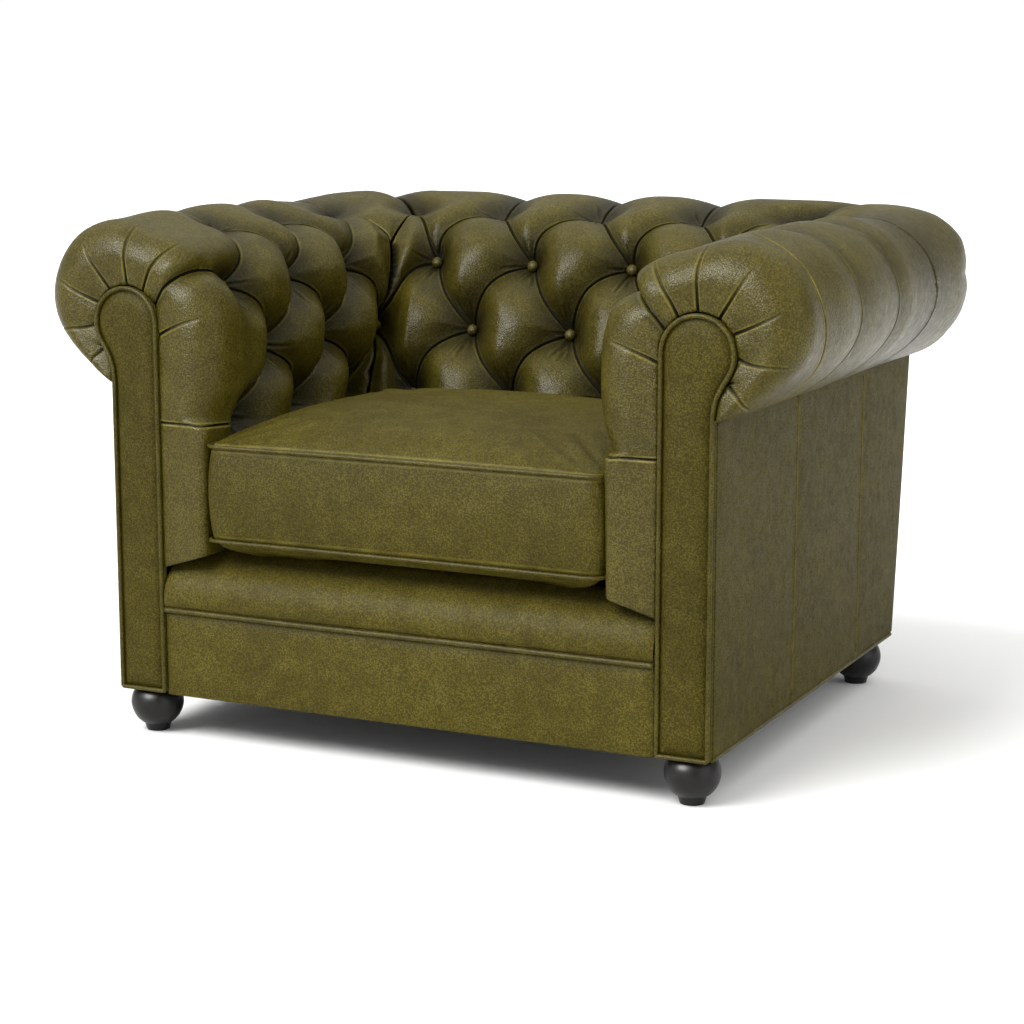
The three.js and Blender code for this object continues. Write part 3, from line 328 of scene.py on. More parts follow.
def corner_pleats(side):
    """The fold that runs up the corner and along the mitre. Both covers end in it."""
    def at(column, row):
        return (column if side > 0 else MIRROR - column, row)
    return [Pleat(at(CORNER, 0), at(*CORNER_FOLD), (0.42, 0.4)),
            Pleat(at(*CORNER_FOLD), at(6.5, ROLL_ROW), (0.4, 0.4), bulge=SLIGHT * side),
            Pleat(at(6.5, ROLL_ROW), at(CORNER, 8), (0.9, 0.8), seam_reach),
            Pleat(at(CORNER, 8), at(CORNER, LAST), (0.8, 0.7), seam_reach)]


def back_pleats():
    """Pleats of the back, all curved the same way: bulging to the left of the photograph."""
    pleats = []
    for odd in (7, 9, 11, 13):
        for even in (odd - 1, odd + 1):
            high, low = (STRAIGHT, -ARC) if even < odd else (-ARC, STRAIGHT)
            pleats.append(Pleat((even, LOW_ROW), (odd, HIGH_ROW), bulge=high))
            pleats.append(Pleat((odd, SEAT_ROW), (even, LOW_ROW), bulge=low))
        for roll in (6.5, 8, 10, 12, 13.5):
            if abs(roll - odd) <= 1:
                bulge = STRAIGHT if roll > odd else -ARC
                pleats.append(Pleat((odd, HIGH_ROW), (roll, ROLL_ROW), bulge=bulge))
        pleats.append(Pleat((odd, SEAT_ROW), (odd, 0), SEAT_DEPTHS, sharp=FADING))
    for column in (8, 10, 12):
        pleats.append(Pleat((column, ROLL_ROW), (column, LAST), (0.95, 0.7), roll_reach))
    return pleats


arm_tufts = [(o, r) for o in (1, 3, 5) for r in (SEAT_ROW, HIGH_ROW)] + [(2, LOW_ROW), (4, LOW_ROW)] \
    + [(2, ROLL_ROW), (4, ROLL_ROW), (5.5, ROLL_ROW)]
back_tufts = [(o, r) for o in (7, 9, 11, 13) for r in (SEAT_ROW, HIGH_ROW)] \
    + [(8, LOW_ROW), (10, LOW_ROW), (12, LOW_ROW), (8, ROLL_ROW), (10, ROLL_ROW), (12, ROLL_ROW)]


def corner_tufts(side):
    places = [(CORNER, LOW_ROW), (6.5, ROLL_ROW)]
    return [(c if side > 0 else MIRROR - c, r) for c, r in places]


all_tufts = arm_tufts + back_tufts + corner_tufts(1) + corner_tufts(-1) \
    + [(MIRROR - c, r) for c, r in arm_tufts]


def reach_of(column, row):
    """How far a tuft draws the cover in round itself; less in the crowded corners."""
    local = min(column, MIRROR - column)
    if local == CORNER:
        return corner_low_reach
    return corner_roll_reach if local in (5.5, 6.5) and row == ROLL_ROW else tuft_reach


def mirror_pleats(pleats):
    """The same pleats on the left arm, in the columns of the whole cover."""
    copies = []
    for pleat in pleats:
        copy = Pleat((0, 0), (1, 1), pleat.depths, pleat.reach)
        copy.line = pleat.line.copy()
        copy.line[:, 0] = MIRROR * half_pitch - copy.line[:, 0]
        copy.sharp = pleat.sharp
        copies.append(copy)
    return copies


def lines_between(pleats, low=-1, high=MIRROR + 1):
    """The pleats that come between two columns."""
    return [pleat for pleat in pleats
            if pleat.line[:, 0].max() > low * half_pitch and pleat.line[:, 0].min() < high * half_pitch]


right_arm, middle = arm_pleats(), back_pleats()
right_corner, left_corner = corner_pleats(1), corner_pleats(-1)
pleats_for = {
    "arm": right_arm + right_corner + lines_between(middle, high=8.2),
    "back": middle + right_corner + left_corner + lines_between(right_arm, low=3.8)
            + lines_between(mirror_pleats(right_arm), high=16.2),
}


def distance_to_line(points, line):
    """Distance from flat points to a polyline, and the share of the way along it."""
    best = np.full(len(points), 1e9)
    share = np.zeros(len(points))
    steps = len(line) - 1
    for i in range(steps):
        run = line[i + 1] - line[i]
        t = np.clip(((points - line[i]) @ run) / max(run @ run, 1e-9), 0, 1)
        d = np.hypot(*(points - line[i] - t[:, None] * run).T)
        closer = d < best
        best = np.where(closer, d, best)
        share = np.where(closer, (i + t) / steps, share)
    return best, share


def fold_depth(points, pleats):
    """How far the cover is drawn in at flat points: 0 on a crest, 1 at a tuft."""
    proud = np.ones(len(points))
    for place, tuft in zip(all_tufts, to_cloth(all_tufts)):
        r = np.hypot(*(points - tuft).T)
        proud *= 1 - np.maximum(1 - r / reach_of(*place), 0) ** 2
    crease = np.zeros(len(points))
    for pleat in pleats:
        low, high = pleat.line.min(0) - pleat.reach, pleat.line.max(0) + pleat.reach
        near = np.all((points > low) & (points < high), axis=1)
        if not near.any():
            continue
        d, share = distance_to_line(points[near], pleat.line)
        depth = pleat.depths[0] + (pleat.depths[1] - pleat.depths[0]) * share
        crease[near] = np.maximum(crease[near], depth * np.maximum(1 - d / pleat.reach, 0) ** 2)
    return 1 - proud * (1 - crease)


# Meshes
def to_frame(points):
    """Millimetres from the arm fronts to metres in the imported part's frame."""
    points = np.array(points, float) / 1000
    points[..., 1] += Y_SHIFT / 1000
    return points


def new_mesh(name, points, faces, material, marks=None, slot="leather", body=CHAIR):
    mesh = bpy.data.meshes.new(name)
    mesh.from_pydata(to_frame(points).tolist(), [], [tuple(int(i) for i in face) for face in faces])
    mesh.update()
    for mark, values in (marks or {}).items():
        layer = mesh.attributes.new(mark, "FLOAT", "POINT")
        layer.data.foreach_set("value", np.asarray(values, dtype=np.float32))
    mesh.polygons.foreach_set("use_smooth", np.ones(len(mesh.polygons), dtype=bool))
    mesh.materials.append(material)
    piece = bpy.data.objects.new(name, mesh)
    scene.collection.objects.link(piece)
    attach(piece, body)
    return piece


def mirrored(points, faces):
    points = np.array(points, float)
    points[:, 0] *= -1
    return points, [tuple(reversed(face)) for face in faces]


def vertex_normals(points, faces):
    triangles = np.asarray(faces)
    a, b, c = points[triangles[:, 0]], points[triangles[:, 1]], points[triangles[:, 2]]
    n = np.cross(b - a, c - a)
    total = np.zeros_like(points)
    for i in range(3):
        np.add.at(total, triangles[:, i], n)
    return unit(total)


def inside_polygon(points, polygon):
    x, y = points[:, 0], points[:, 1]
    inside = np.zeros(len(points), bool)
    j = len(polygon) - 1
    for i in range(len(polygon)):
        xi, yi = polygon[i]
        xj, yj = polygon[j]
        crosses = (yi > y) != (yj > y)
        with np.errstate(divide="ignore", invalid="ignore"):
            inside ^= crosses & (x < (xj - xi) * (y - yi) / (yj - yi) + xi)
        j = i
    return inside


def resample(line, spacing):
    """A flat polyline with points an even real distance apart on the soft surface."""
    dense = np.concatenate([line[i] + (line[i + 1] - line[i]) * np.linspace(0, 1, 12, endpoint=False)[:, None]
                            for i in range(len(line) - 1)] + [line[-1:]])
    length = running_length(soft_surface(dense))
    count = max(int(round(length[-1] / spacing)), 1)
    marks = np.linspace(0, length[-1], count + 1)
    points = np.stack([np.interp(marks, length, dense[:, k]) for k in (0, 1)], -1)
    return points, marks / max(length[-1], 1e-9)


def beside(line, offset):
    """Flat points a real distance beside a flat polyline."""
    su, sv = (soft_surface(line + step) - soft_surface(line - step) for step in ([0.5, 0], [0, 0.5]))
    run = np.gradient(line, axis=0)
    tangent = su * run[:, :1] + sv * run[:, 1:]
    across = unit(np.cross(np.cross(su, sv), tangent))
    uu, vv, uv = (su * su).sum(1), (sv * sv).sum(1), (su * sv).sum(1)
    au, av = (across * su).sum(1), (across * sv).sum(1)
    det = np.maximum(uu * vv - uv * uv, 1e-9)
    step = np.stack([(au * vv - av * uv) / det, (av * uu - au * uv) / det], -1)
    return line + step * offset


GROOVE = ([0, 1.1, 2.1, 3.2, 5.0, 7.5], [-3.8, -2.0, 0.0, 0.55, 0.3, 0.0])
SPACING = 3.2
FIELD = 6.5
NEAR_TUFT = 2.3
row_share, crowd_share, usual_depth = 0.87, 0.86, 0.3
fine_radius, field_jitter, edge_clearance = 44.0, 0.25, 1.6
gather_radius, gather_turn, gather_lengths, gather_widths = 66.0, 0.24, (26, 58), (1.3, 2.1)
gather_depths, gather_ridges, ridge_place, corner_zone = (1.5, 3.2), (0.6, 1.3), 2.6, 0.9
hem_depth, low_hem_depth, ring_end, low_end = 9.0, 8.0, -0.999, LAST - 0.01
edge_spacing, field_gap, crest_step = SPACING * 1.4, 1.5, 0.05
strip_rows, strip_columns, strip_calm = (0.2, 0.7, 1.2, 1.7), (0.1, 0.7), 0.85


def nearest(points, targets):
    """Distance to the nearest target, and its index, for real points."""
    tree = KDTree(len(targets))
    for i, target in enumerate(targets):
        tree.insert(target, i)
    tree.balance()
    found = [tree.find(point) for point in points]
    return np.array([f[2] for f in found]), np.array([f[1] for f in found])


def soft_surface(flat):
    """Where flat points lie in the chair when the cover is drawn in by a part of its depth."""
    return cover(*np.moveaxis(from_cloth(flat), -1, 0), usual_depth)


def folded_surface(flat, depth):
    return cover(*np.moveaxis(from_cloth(flat), -1, 0), depth)


def triangulate(edge, lines, kept, inner):
    """Triangles inside a flat outline that follow the lines where they are kept."""
    vertices = [Vector(p) for p in edge]
    edges = [(i, (i + 1) % len(edge)) for i in range(len(edge))]
    for line, keep in zip(lines, kept):
        previous = None
        for point, good in zip(line, keep):
            if not good:
                previous = None
                continue
            vertices.append(Vector(point))
            if previous is not None:
                edges.append((previous, len(vertices) - 1))
            previous = len(vertices) - 1
    vertices.extend(Vector(p) for p in inner)
    found = delaunay_2d_cdt(vertices, edges, [], 1, 1e-4, False)
    flat = np.array([tuple(v) for v in found[0]])
    faces = np.array([f for f in found[2] if len(f) == 3])
    return flat, faces[inside_polygon(flat[faces].mean(1), edge)]


def field_points(edge, rng):
    """Points between the pleats: an even field, finer round the tufts."""
    low, high = edge.min(0), edge.max(0)
    field = []
    for spacing, near_only in ((FIELD, False), (NEAR_TUFT, True)):
        rows = np.arange(low[1] + spacing / 2, high[1], spacing * row_share)
        for k, v in enumerate(rows):
            u = np.linspace(low[0], high[0], 800)
            length = running_length(soft_surface(np.stack([u, np.full_like(u, v)], -1)))
            marks = np.arange(spacing * (0.5 if k % 2 else 0.25), length[-1], spacing)
            points = np.stack([np.interp(marks, length, u), np.full(len(marks), v)], -1)
            r = np.min([np.hypot(*(points - t).T) for t in to_cloth(all_tufts)], axis=0)
            field.append(points[(r < fine_radius) if near_only else (r >= fine_radius)])
    field = np.concatenate(field)
    return field + rng.normal(0, field_jitter, field.shape)


def gathers(flat):
    """Short wrinkles that fan out above, below and beside each tuft: how far they lift the cover."""
    lift = np.zeros(len(flat))
    for i, ((column, _), tuft) in enumerate(zip(all_tufts, to_cloth(all_tufts))):
        if abs(min(column, MIRROR - column) - CORNER) < corner_zone:
            continue
        away = flat - tuft
        r = np.hypot(*away.T)
        near = r < gather_radius
        r = r[near]
        angle = np.arctan2(away[near, 1], away[near, 0])
        local = np.random.default_rng(1000 + i)
        for middle, count in ((np.pi / 2, 5), (-np.pi / 2, 4), (local.uniform(-0.5, 0.5), 1)):
            for k in range(count):
                aim = middle + (k - (count - 1) / 2) * gather_turn + local.normal(0, 0.05)
                length = local.uniform(*gather_lengths)
                fade = smooth(r, 5, 10) * (1 - smooth(r, length * 0.45, length))
                width = local.uniform(*gather_widths)
                bend = local.normal(0, 0.16) * (r / 60) ** 2
                off = np.angle(np.exp(1j * (angle - aim + bend))) * r
                off = np.where(np.abs(angle - aim) < 1.5, off, 99)
                lift[near] -= local.uniform(*gather_depths) * fade * np.exp(-(off / width) ** 2)
                ridge = (np.abs(off) - ridge_place * width) / width
                lift[near] += local.uniform(*gather_ridges) * fade * np.exp(-ridge ** 2)
    return lift


def seam_marks(distance, reach, fade, rim, width):
    """How much points near a seam take the painted shade of its crease, and how much the rubbed wear and
    painted highlight of the edges beside it.
    """
    return np.clip((reach - distance) / fade, 0, 1), np.clip(1 - np.abs(distance - rim) / width, 0, 1)


def tufted_mesh(boundary, pleats, seed):
    """Triangles over a region of the flat cover that follow its pleats, folded into their real place."""
    rng = np.random.default_rng(seed)
    edge = []
    for i, corner in enumerate(boundary):
        part, _ = resample(np.array([corner, boundary[(i + 1) % len(boundary)]]), edge_spacing)
        edge.extend(part[:-1])
    edge = np.array(edge)
    lines, sharps = [], []
    for pleat in pleats:
        line, share = resample(pleat.line, SPACING)
        lines.append(line)
        sharps.append(np.interp(share, np.linspace(0, 1, len(pleat.sharp)), pleat.sharp))
    pleat_sharp = np.concatenate(sharps)
    pleat_real = soft_surface(np.concatenate(lines))
    sides, offsets = [], []
    for line in lines:
        for offset in GROOVE[0][1:]:
            for sign in (-1, 1):
                sides.append(beside(line, sign * offset))
                offsets.append(np.full(len(line), offset))
    sides, offsets = np.concatenate(sides), np.concatenate(offsets)
    keep = inside_polygon(sides, edge)
    sides, offsets = sides[keep], offsets[keep]
    sides = sides[nearest(soft_surface(sides), pleat_real)[0] > offsets * crowd_share]
    field = field_points(edge, rng)
    field = field[inside_polygon(field, edge)]
    field = field[nearest(soft_surface(field), pleat_real)[0] > GROOVE[0][-1] + field_gap]
    inner = np.concatenate([sides, field])
    edge_real = soft_surface(edge)
    inner = inner[nearest(soft_surface(inner), edge_real)[0] > edge_clearance]
    kept = [inside_polygon(line, edge) & (nearest(soft_surface(line), edge_real)[0] > edge_clearance)
            for line in lines]
    flat, faces = triangulate(edge, lines, kept, inner)
    a, b, c = flat[faces[:, 0]], flat[faces[:, 1]], flat[faces[:, 2]]
    turn = (b[:, 0] - a[:, 0]) * (c[:, 1] - a[:, 1]) - (b[:, 1] - a[:, 1]) * (c[:, 0] - a[:, 0])
    faces[turn > 0] = faces[turn > 0][:, ::-1]
    column, row = np.moveaxis(from_cloth(flat), -1, 0)
    # the strip stays flat round the seam on the seat's line
    calm = window(row, *strip_rows) * (1 - smooth(column, *strip_columns))
    depth = fold_depth(flat, pleats) * (1 - strip_calm * calm)
    real = folded_surface(flat, depth)
    normals = vertex_normals(real, faces)
    # the crests lie further out than the folds
    crest = folded_surface(flat, np.clip(depth - crest_step, 0, 1))
    if ((crest - real) * normals).sum() < 0:
        normals = -normals
        faces = faces[:, ::-1]
    d, which = nearest(soft_surface(flat), pleat_real)
    sharp = pleat_sharp[which]
    wrinkles = gathers(flat) * smooth(d, 1.5, 5)
    real = real + normals * (np.interp(d, *GROOVE) * sharp + wrinkles)[:, None]
    crease, edges = seam_marks(d, 1.9, 0.8, 2.8, 1.4)
    # painted shade in the pleats' creases and the deep wrinkles; rubbed wear and a painted highlight on the
    # pleats' edges and the wrinkles' ridges; deep is the fold depth, which the leather paints as shade in the
    # tufts' bowls
    marks = {"crease": np.maximum(crease * sharp, np.clip(-wrinkles - 0.4, 0, 1.6) * 0.34),
             "edge": np.maximum(edges * sharp, np.clip(wrinkles - 0.1, 0, 0.6) * 0.6),
             "deep": depth}
    return real, faces, marks, flat


def cloth_line(row, columns):
    return [tuple(to_cloth((column, row))) for column in columns]


def pleat_boundary(pleats):
    """The corner folds as one boundary line."""
    points = [tuple(p) for p in pleats[0].line[::4]]
    for pleat in pleats[1:]:
        points.extend(tuple(p) for p in pleat.line[4::4])
    return points


def skirted(points, faces, back):
    """Gives a sheet a rim that goes back from its free edges, so that it reads as a solid edge."""
    faces = [tuple(int(i) for i in f) for f in faces]
    count = {}
    for f in faces:
        for i, j in zip(f, f[1:] + f[:1]):
            pair = (min(i, j), max(i, j))
            count[pair] = count.get(pair, 0) + 1
    free = [(i, j) for f in faces for i, j in zip(f, f[1:] + f[:1]) if count[min(i, j), max(i, j)] == 1]
    extra, rim = {}, []
    for pair in free:
        for i in pair:
            if i not in extra:
                extra[i] = len(points) + len(rim)
                rim.append(back(i))
    faces += [(j, i, extra[i], extra[j]) for i, j in free]
    return np.concatenate([points, np.array(rim)]), faces


def pad_marks(marks, count):
    return {key: np.concatenate([value, np.zeros(count - len(value))]) for key, value in marks.items()}


def hem(points, faces, marks, flat):
    """Turns the free edges of a cover in behind, so that no open edge shows."""
    normals = vertex_normals(points, np.array(faces))
    places = from_cloth(flat)

    def back(i):
        column, row = places[i]
        if column < ring_end:
            return points[i] + np.array([0, hem_depth, 0])
        if row > low_end and column < ARM_END:
            return points[i] + np.array([-low_hem_depth, 0, 0]) * np.sign(points[i][0])
        return points[i] - normals[i] * (low_hem_depth if row > low_end else hem_depth)

    points, faces = skirted(points, faces, back)
    return points, faces, pad_marks(marks, len(points))


# Materials
def fill_inputs(tree, node, values):
    """Sets a node's inputs to numbers and colours, or links them to the outputs of other nodes."""
    for key, value in values.items():
        socket = node.inputs[key]
        if isinstance(value, bpy.types.NodeSocket):
            tree.links.new(value, socket)
        else:
            socket.default_value = (*value, 1) if socket.type == "RGBA" else value


def add_node(tree, kind, values=None, **settings):
    node = tree.nodes.new(kind)
    for key, value in settings.items():
        setattr(node, key, value)
    fill_inputs(tree, node, values or {})
    return node


def node_material(name):
    """A new material with its shader, and the coordinates its patterns lie in."""
    material = bpy.data.materials.new(name)
    material.use_nodes = True
    tree = material.node_tree
    tree.nodes.clear()
    out = tree.nodes.new("ShaderNodeOutputMaterial")
    shader = tree.nodes.new("ShaderNodeBsdfPrincipled")
    tree.links.new(shader.outputs[0], out.inputs[0])
    return material, tree, shader, add_node(tree, "ShaderNodeTexCoord").outputs["Object"]


def noise(tree, where, scale, detail=3.0, rough=0.55, stretch=None, distortion=0.0):
    if stretch is not None:
        where = add_node(tree, "ShaderNodeMapping", {"Vector": where, "Scale": stretch}).outputs[0]
    values = {"Vector": where, "Scale": scale, "Detail": detail, "Roughness": rough, "Distortion": distortion}
    return add_node(tree, "ShaderNodeTexNoise", values).outputs["Fac"]


def math_node(tree, operation, a, b, clamp=False):
    return add_node(tree, "ShaderNodeMath", {0: a, 1: b}, operation=operation, use_clamp=clamp).outputs[0]


def mix_color(tree, factor, a, b):
    return add_node(tree, "ShaderNodeMix", {0: factor, 6: a, 7: b}, data_type="RGBA").outputs[2]


def ramp(tree, value, *stops):
    """A ramp of greys, given as places and brightnesses."""
    node = add_node(tree, "ShaderNodeValToRGB", {0: value})
    elements = node.color_ramp.elements
    while len(elements) < len(stops):
        elements.new(0.5)
    for element, (place, grey) in zip(elements, stops):
        element.position = place
        element.color = (grey, grey, grey, 1)
    return node.outputs[0]


def spread(tree, value, low, high):
    """Brings the usual range of a noise to the range between two values."""
    values = {"Value": value, "From Min": 0.3, "From Max": 0.7, "To Min": low, "To Max": high}
    return add_node(tree, "ShaderNodeMapRange", values).outputs[0]


def bumped(tree, height, strength, distance, under=None):
    """A bump made from a height, laid over the bump under it if there is one."""
    node = add_node(tree, "ShaderNodeBump", {"Height": height, "Strength": strength, "Distance": distance})
    if under is not None:
        tree.links.new(under, node.inputs["Normal"])
    return node.outputs[0]


def shaded(color, share):
    return tuple(c * share for c in color)


OLIVE, OLIVE_DARK, OLIVE_LIGHT = (0.068, 0.055, 0.0055), (0.046, 0.036, 0.0032), (0.098, 0.081, 0.013)
# the colour of the painted shade in the creases
CREASE_SHADE_COLOR = (0.004, 0.0035, 0.0015)


def leather(name, base=1.0, dark=1.0, light=1.0, rough=0.33, grain=1.0, streak=0.0, sheen=0.2):
    """Pebbled, lightly rubbed leather. It reads the marks crease, edge and deep of a mesh: painted shade in
    the creases, rubbed wear and a painted highlight along the edges, and painted shade in the deep bowls of
    the tufts.
    """
    base, dark, light = shaded(OLIVE, base), shaded(OLIVE_DARK, dark), shaded(OLIVE_LIGHT, light)
    material, tree, shader, where = node_material(name)
    clouds = noise(tree, where, 7.0, 4.0, 0.6)
    patches = noise(tree, where, 31.0, 3.0, 0.6)
    specks = noise(tree, where, 520.0, 2.0, 0.6)
    color = mix_color(tree, ramp(tree, clouds, (0.3, 0.0), (0.7, 1.0)), dark, base)
    color = mix_color(tree, ramp(tree, patches, (0.42, 0.0), (0.75, 0.55)), color, light)
    # the pebbles lie in coordinates that wobble a little, so that they differ in shape
    wobble = add_node(tree, "ShaderNodeTexNoise", {"Vector": where, "Scale": 210.0, "Detail": 1.0})
    small = {0: wobble.outputs["Color"], "Scale": 0.004}
    small = add_node(tree, "ShaderNodeVectorMath", small, operation="SCALE")
    warp = add_node(tree, "ShaderNodeVectorMath", {0: where, 1: small.outputs[0]}, operation="ADD")
    pits = add_node(tree, "ShaderNodeTexVoronoi", {"Vector": warp.outputs[0], "Scale": 400.0})
    pebble = math_node(tree, "SUBTRACT", math_node(tree, "MULTIPLY", specks, 1.4), pits.outputs["Distance"])
    color = mix_color(tree, ramp(tree, pebble, (0.05, 0.65), (0.42, 0.0)), color, shaded(dark, 0.35))
    color = mix_color(tree, ramp(tree, pebble, (0.5, 0.0), (0.8, 0.25)), color, shaded(light, 1.2))
    crease, edge, deep = (add_node(tree, "ShaderNodeAttribute", attribute_name=mark).outputs["Fac"]
                          for mark in ("crease", "edge", "deep"))
    # rubbed wear and a painted highlight along the edges of seams and on the ridges of wrinkles
    wear_and_highlight = math_node(tree, "MULTIPLY", edge, ramp(tree, patches, (0.3, 0.35), (0.65, 1.0)))
    color = mix_color(tree, math_node(tree, "MULTIPLY", wear_and_highlight, 0.8), color, shaded(light, 2.4))
    # painted shade: the deeper the cover lies in a tuft's bowl, the darker it is
    shade = ramp(tree, deep, (0.16, 0.0), (0.42, 0.5), (0.75, 0.9))
    color = mix_color(tree, shade, color, shaded(dark, 0.16))
    # painted shade: the creases of seams and wrinkles are darkened nearly to black
    color = mix_color(tree, math_node(tree, "MULTIPLY", crease, 0.95, clamp=True), color, CREASE_SHADE_COLOR)
    rubbed = spread(tree, noise(tree, where, 90.0, 3.0, 0.6), rough - 0.06, rough + 0.09)
    roughness = math_node(tree, "ADD", rubbed, math_node(tree, "MULTIPLY", crease, 0.4))
    height = pebble
    if streak:
        brushed = noise(tree, where, 120.0, 3.0, 0.6, stretch=(1.0, 0.16, 1.0))
        height = math_node(tree, "ADD", height, math_node(tree, "MULTIPLY", brushed, streak))
    soft = bumped(tree, noise(tree, where, 60.0), 0.25, 0.003)
    fill_inputs(tree, shader, {"Base Color": color, "Roughness": roughness, "Specular IOR Level": sheen,
                               "Normal": bumped(tree, height, 0.5 * grain, 0.0008, soft)})
    return material


def wood_material():
    material, tree, shader, where = node_material("sawn_beech")
    rings = noise(tree, where, 9.0, 5.0, 0.6, stretch=(1.0, 9.0, 9.0), distortion=0.4)
    fine = noise(tree, where, 160.0, 2.0, 0.6, stretch=(0.12, 1.0, 1.0))
    growth = ramp(tree, rings, (0.3, 0.0), (0.7, 1.0))
    color = mix_color(tree, growth, (0.34, 0.19, 0.085), (0.55, 0.36, 0.19))
    color = mix_color(tree, ramp(tree, fine, (0.35, 0.35), (0.65, 0.0)), color, (0.22, 0.12, 0.05))
    fill_inputs(tree, shader, {"Base Color": color, "Roughness": 0.62,
                               "Normal": bumped(tree, fine, 0.3, 0.0005)})
    return material


def black_wood_material():
    material, tree, shader, where = node_material("black_lacquer")
    clouds = ramp(tree, noise(tree, where, 38.0, 4.0, 0.6), (0.35, 0.0), (0.7, 1.0))
    color = mix_color(tree, clouds, (0.003, 0.0028, 0.0026), (0.008, 0.007, 0.006))
    fill_inputs(tree, shader, {"Base Color": color, "Specular IOR Level": 0.25,
                               "Roughness": spread(tree, noise(tree, where, 70.0), 0.3, 0.48),
                               "Normal": bumped(tree, noise(tree, where, 210.0, 2.0), 0.12, 0.0004)})
    return material


def metal_material(name, color, rough):
    material, tree, shader, where = node_material(name)
    shade = ramp(tree, noise(tree, where, 80.0, 4.0, 0.6), (0.35, 0.0), (0.7, 1.0))
    color = mix_color(tree, shade, shaded(color, 0.6), color)
    rubbed = spread(tree, noise(tree, where, 300.0, 2.0), rough - 0.08, rough + 0.12)
    fill_inputs(tree, shader, {"Base Color": color, "Metallic": 1.0, "Roughness": rubbed})
    return material


def cloth_material(name, color, scale):
    material, tree, shader, where = node_material(name)
    values = {"Vector": where, "Scale": scale, "Distortion": 0.6, "Detail": 1.0}
    weave = [add_node(tree, "ShaderNodeTexWave", values, bands_direction=way).outputs["Fac"] for way in "XY"]
    height = math_node(tree, "MULTIPLY", *weave)
    shade = mix_color(tree, height, shaded(color, 0.5), color)
    worn = ramp(tree, noise(tree, where, 14.0), (0.35, 0.4), (0.65, 0.0))
    shade = mix_color(tree, worn, shade, shaded(color, 0.6))
    fill_inputs(tree, shader, {"Base Color": shade, "Roughness": 0.95,
                               "Normal": bumped(tree, height, 0.5, 0.0008)})
    return material


def foam_material():
    material, tree, shader, where = node_material("seat_foam")
    cells = add_node(tree, "ShaderNodeTexVoronoi", {"Vector": where, "Scale": 700.0}).outputs["Distance"]
    clouds = ramp(tree, noise(tree, where, 12.0), (0.3, 0.0), (0.7, 1.0))
    fill_inputs(tree, shader, {"Base Color": mix_color(tree, clouds, (0.72, 0.62, 0.36), (0.86, 0.79, 0.55)),
                               "Roughness": 0.9, "Normal": bumped(tree, cells, 0.4, 0.0006)})
    return material


hide = leather("cover_leather", 1.18, 1.18, 1.18, sheen=0.145)
border_hide = leather("border_leather", 1.3, 1.3, 1.3, rough=0.5, sheen=0.08)
smooth_hide = leather("panel_leather", rough=0.5, sheen=0.06)
side_hide = leather("side_leather", 0.95, 0.95, 0.95, rough=0.55, sheen=0.06)
cushion_hide = leather("cushion_leather", 1.12, 1.15, 1.1, rough=0.5, streak=0.8, sheen=0.08)
cord_hide = leather("piping_leather", 1.1, 1.0, 1.25, rough=0.4, grain=0.7, sheen=0.12)
wood = wood_material()
lacquer = black_wood_material()
steel = metal_material("spring_steel", (0.34, 0.34, 0.35), 0.38)
brass = metal_material("zip_brass", (0.62, 0.4, 0.14), 0.32)
deck_cloth = cloth_material("deck_cloth", (0.035, 0.032, 0.028), 900.0)
lining = cloth_material("under_lining", (0.02, 0.02, 0.02), 1400.0)
zip_tape = cloth_material("zip_tape", (0.05, 0.043, 0.02), 1600.0)
foam = foam_material()


# Camera, lights and floor
focal_pixels, picture_pixels, sensor = 2426, 1024, 36
camera_place, camera_down, camera_turn = (1.5096, -2.7935, 0.9478), 10.58, 25.64
camera_data = bpy.data.cameras.new("camera")
camera_data.lens = focal_pixels / picture_pixels * sensor
camera_data.sensor_width = sensor
camera_data.clip_end = 100
camera = bpy.data.objects.new("camera", camera_data)
camera.location = (camera_place[0], camera_place[1] + Y_SHIFT / 1000, camera_place[2])
camera.rotation_euler = (math.radians(90 - camera_down), 0, math.radians(camera_turn))
scene.collection.objects.link(camera)
scene.camera = camera


def add_light(data, strength, location, towards):
    data.energy = strength
    light = bpy.data.objects.new(data.name, data)
    light.location = location
    light.rotation_euler = Vector(towards).to_track_quat("-Z", "Y").to_euler()
    scene.collection.objects.link(light)
    return light


def area_light(name, location, target, size, power):
    data = bpy.data.lights.new(name, "AREA")
    data.shape = "RECTANGLE"
    data.size, data.size_y = size
    return add_light(data, power, location, Vector(target) - Vector(location))


def sun_light(name, towards, strength, angle):
    data = bpy.data.lights.new(name, "SUN")
    data.angle = math.radians(angle)
    return add_light(data, strength, (-2, -2, 3), towards)


# The key light leaves its reflection to the softbox, which only lights what mirrors it
key = sun_light("key", (0.32, 0.55, -0.77), 3.2, 34)
key.visible_glossy = False
sun_light("fill", (-0.88, 0.22, -0.36), 0.95, 50)
softbox = area_light("softbox", (-1.15, -3.3, 2.4), (0, 0, 0.45), (2.2, 1.7), 400)
softbox.visible_diffuse = False
softbox.visible_camera = False

# A grey studio: white overhead, and lighter along the horizon than just above it
world = bpy.data.worlds.new("studio")
scene.world = world
world.use_nodes = True
world_tree = world.node_tree
world_where = add_node(world_tree, "ShaderNodeTexCoord").outputs["Generated"]
world_up = add_node(world_tree, "ShaderNodeSeparateXYZ", {0: world_where}).outputs["Z"]
world_shade = ramp(world_tree, world_up, (0.05, 0.62), (0.12, 0.24), (0.45, 0.24), (0.8, 1.0))
fill_inputs(world_tree, world_tree.nodes["Background"], {"Color": world_shade, "Strength": 1.65})

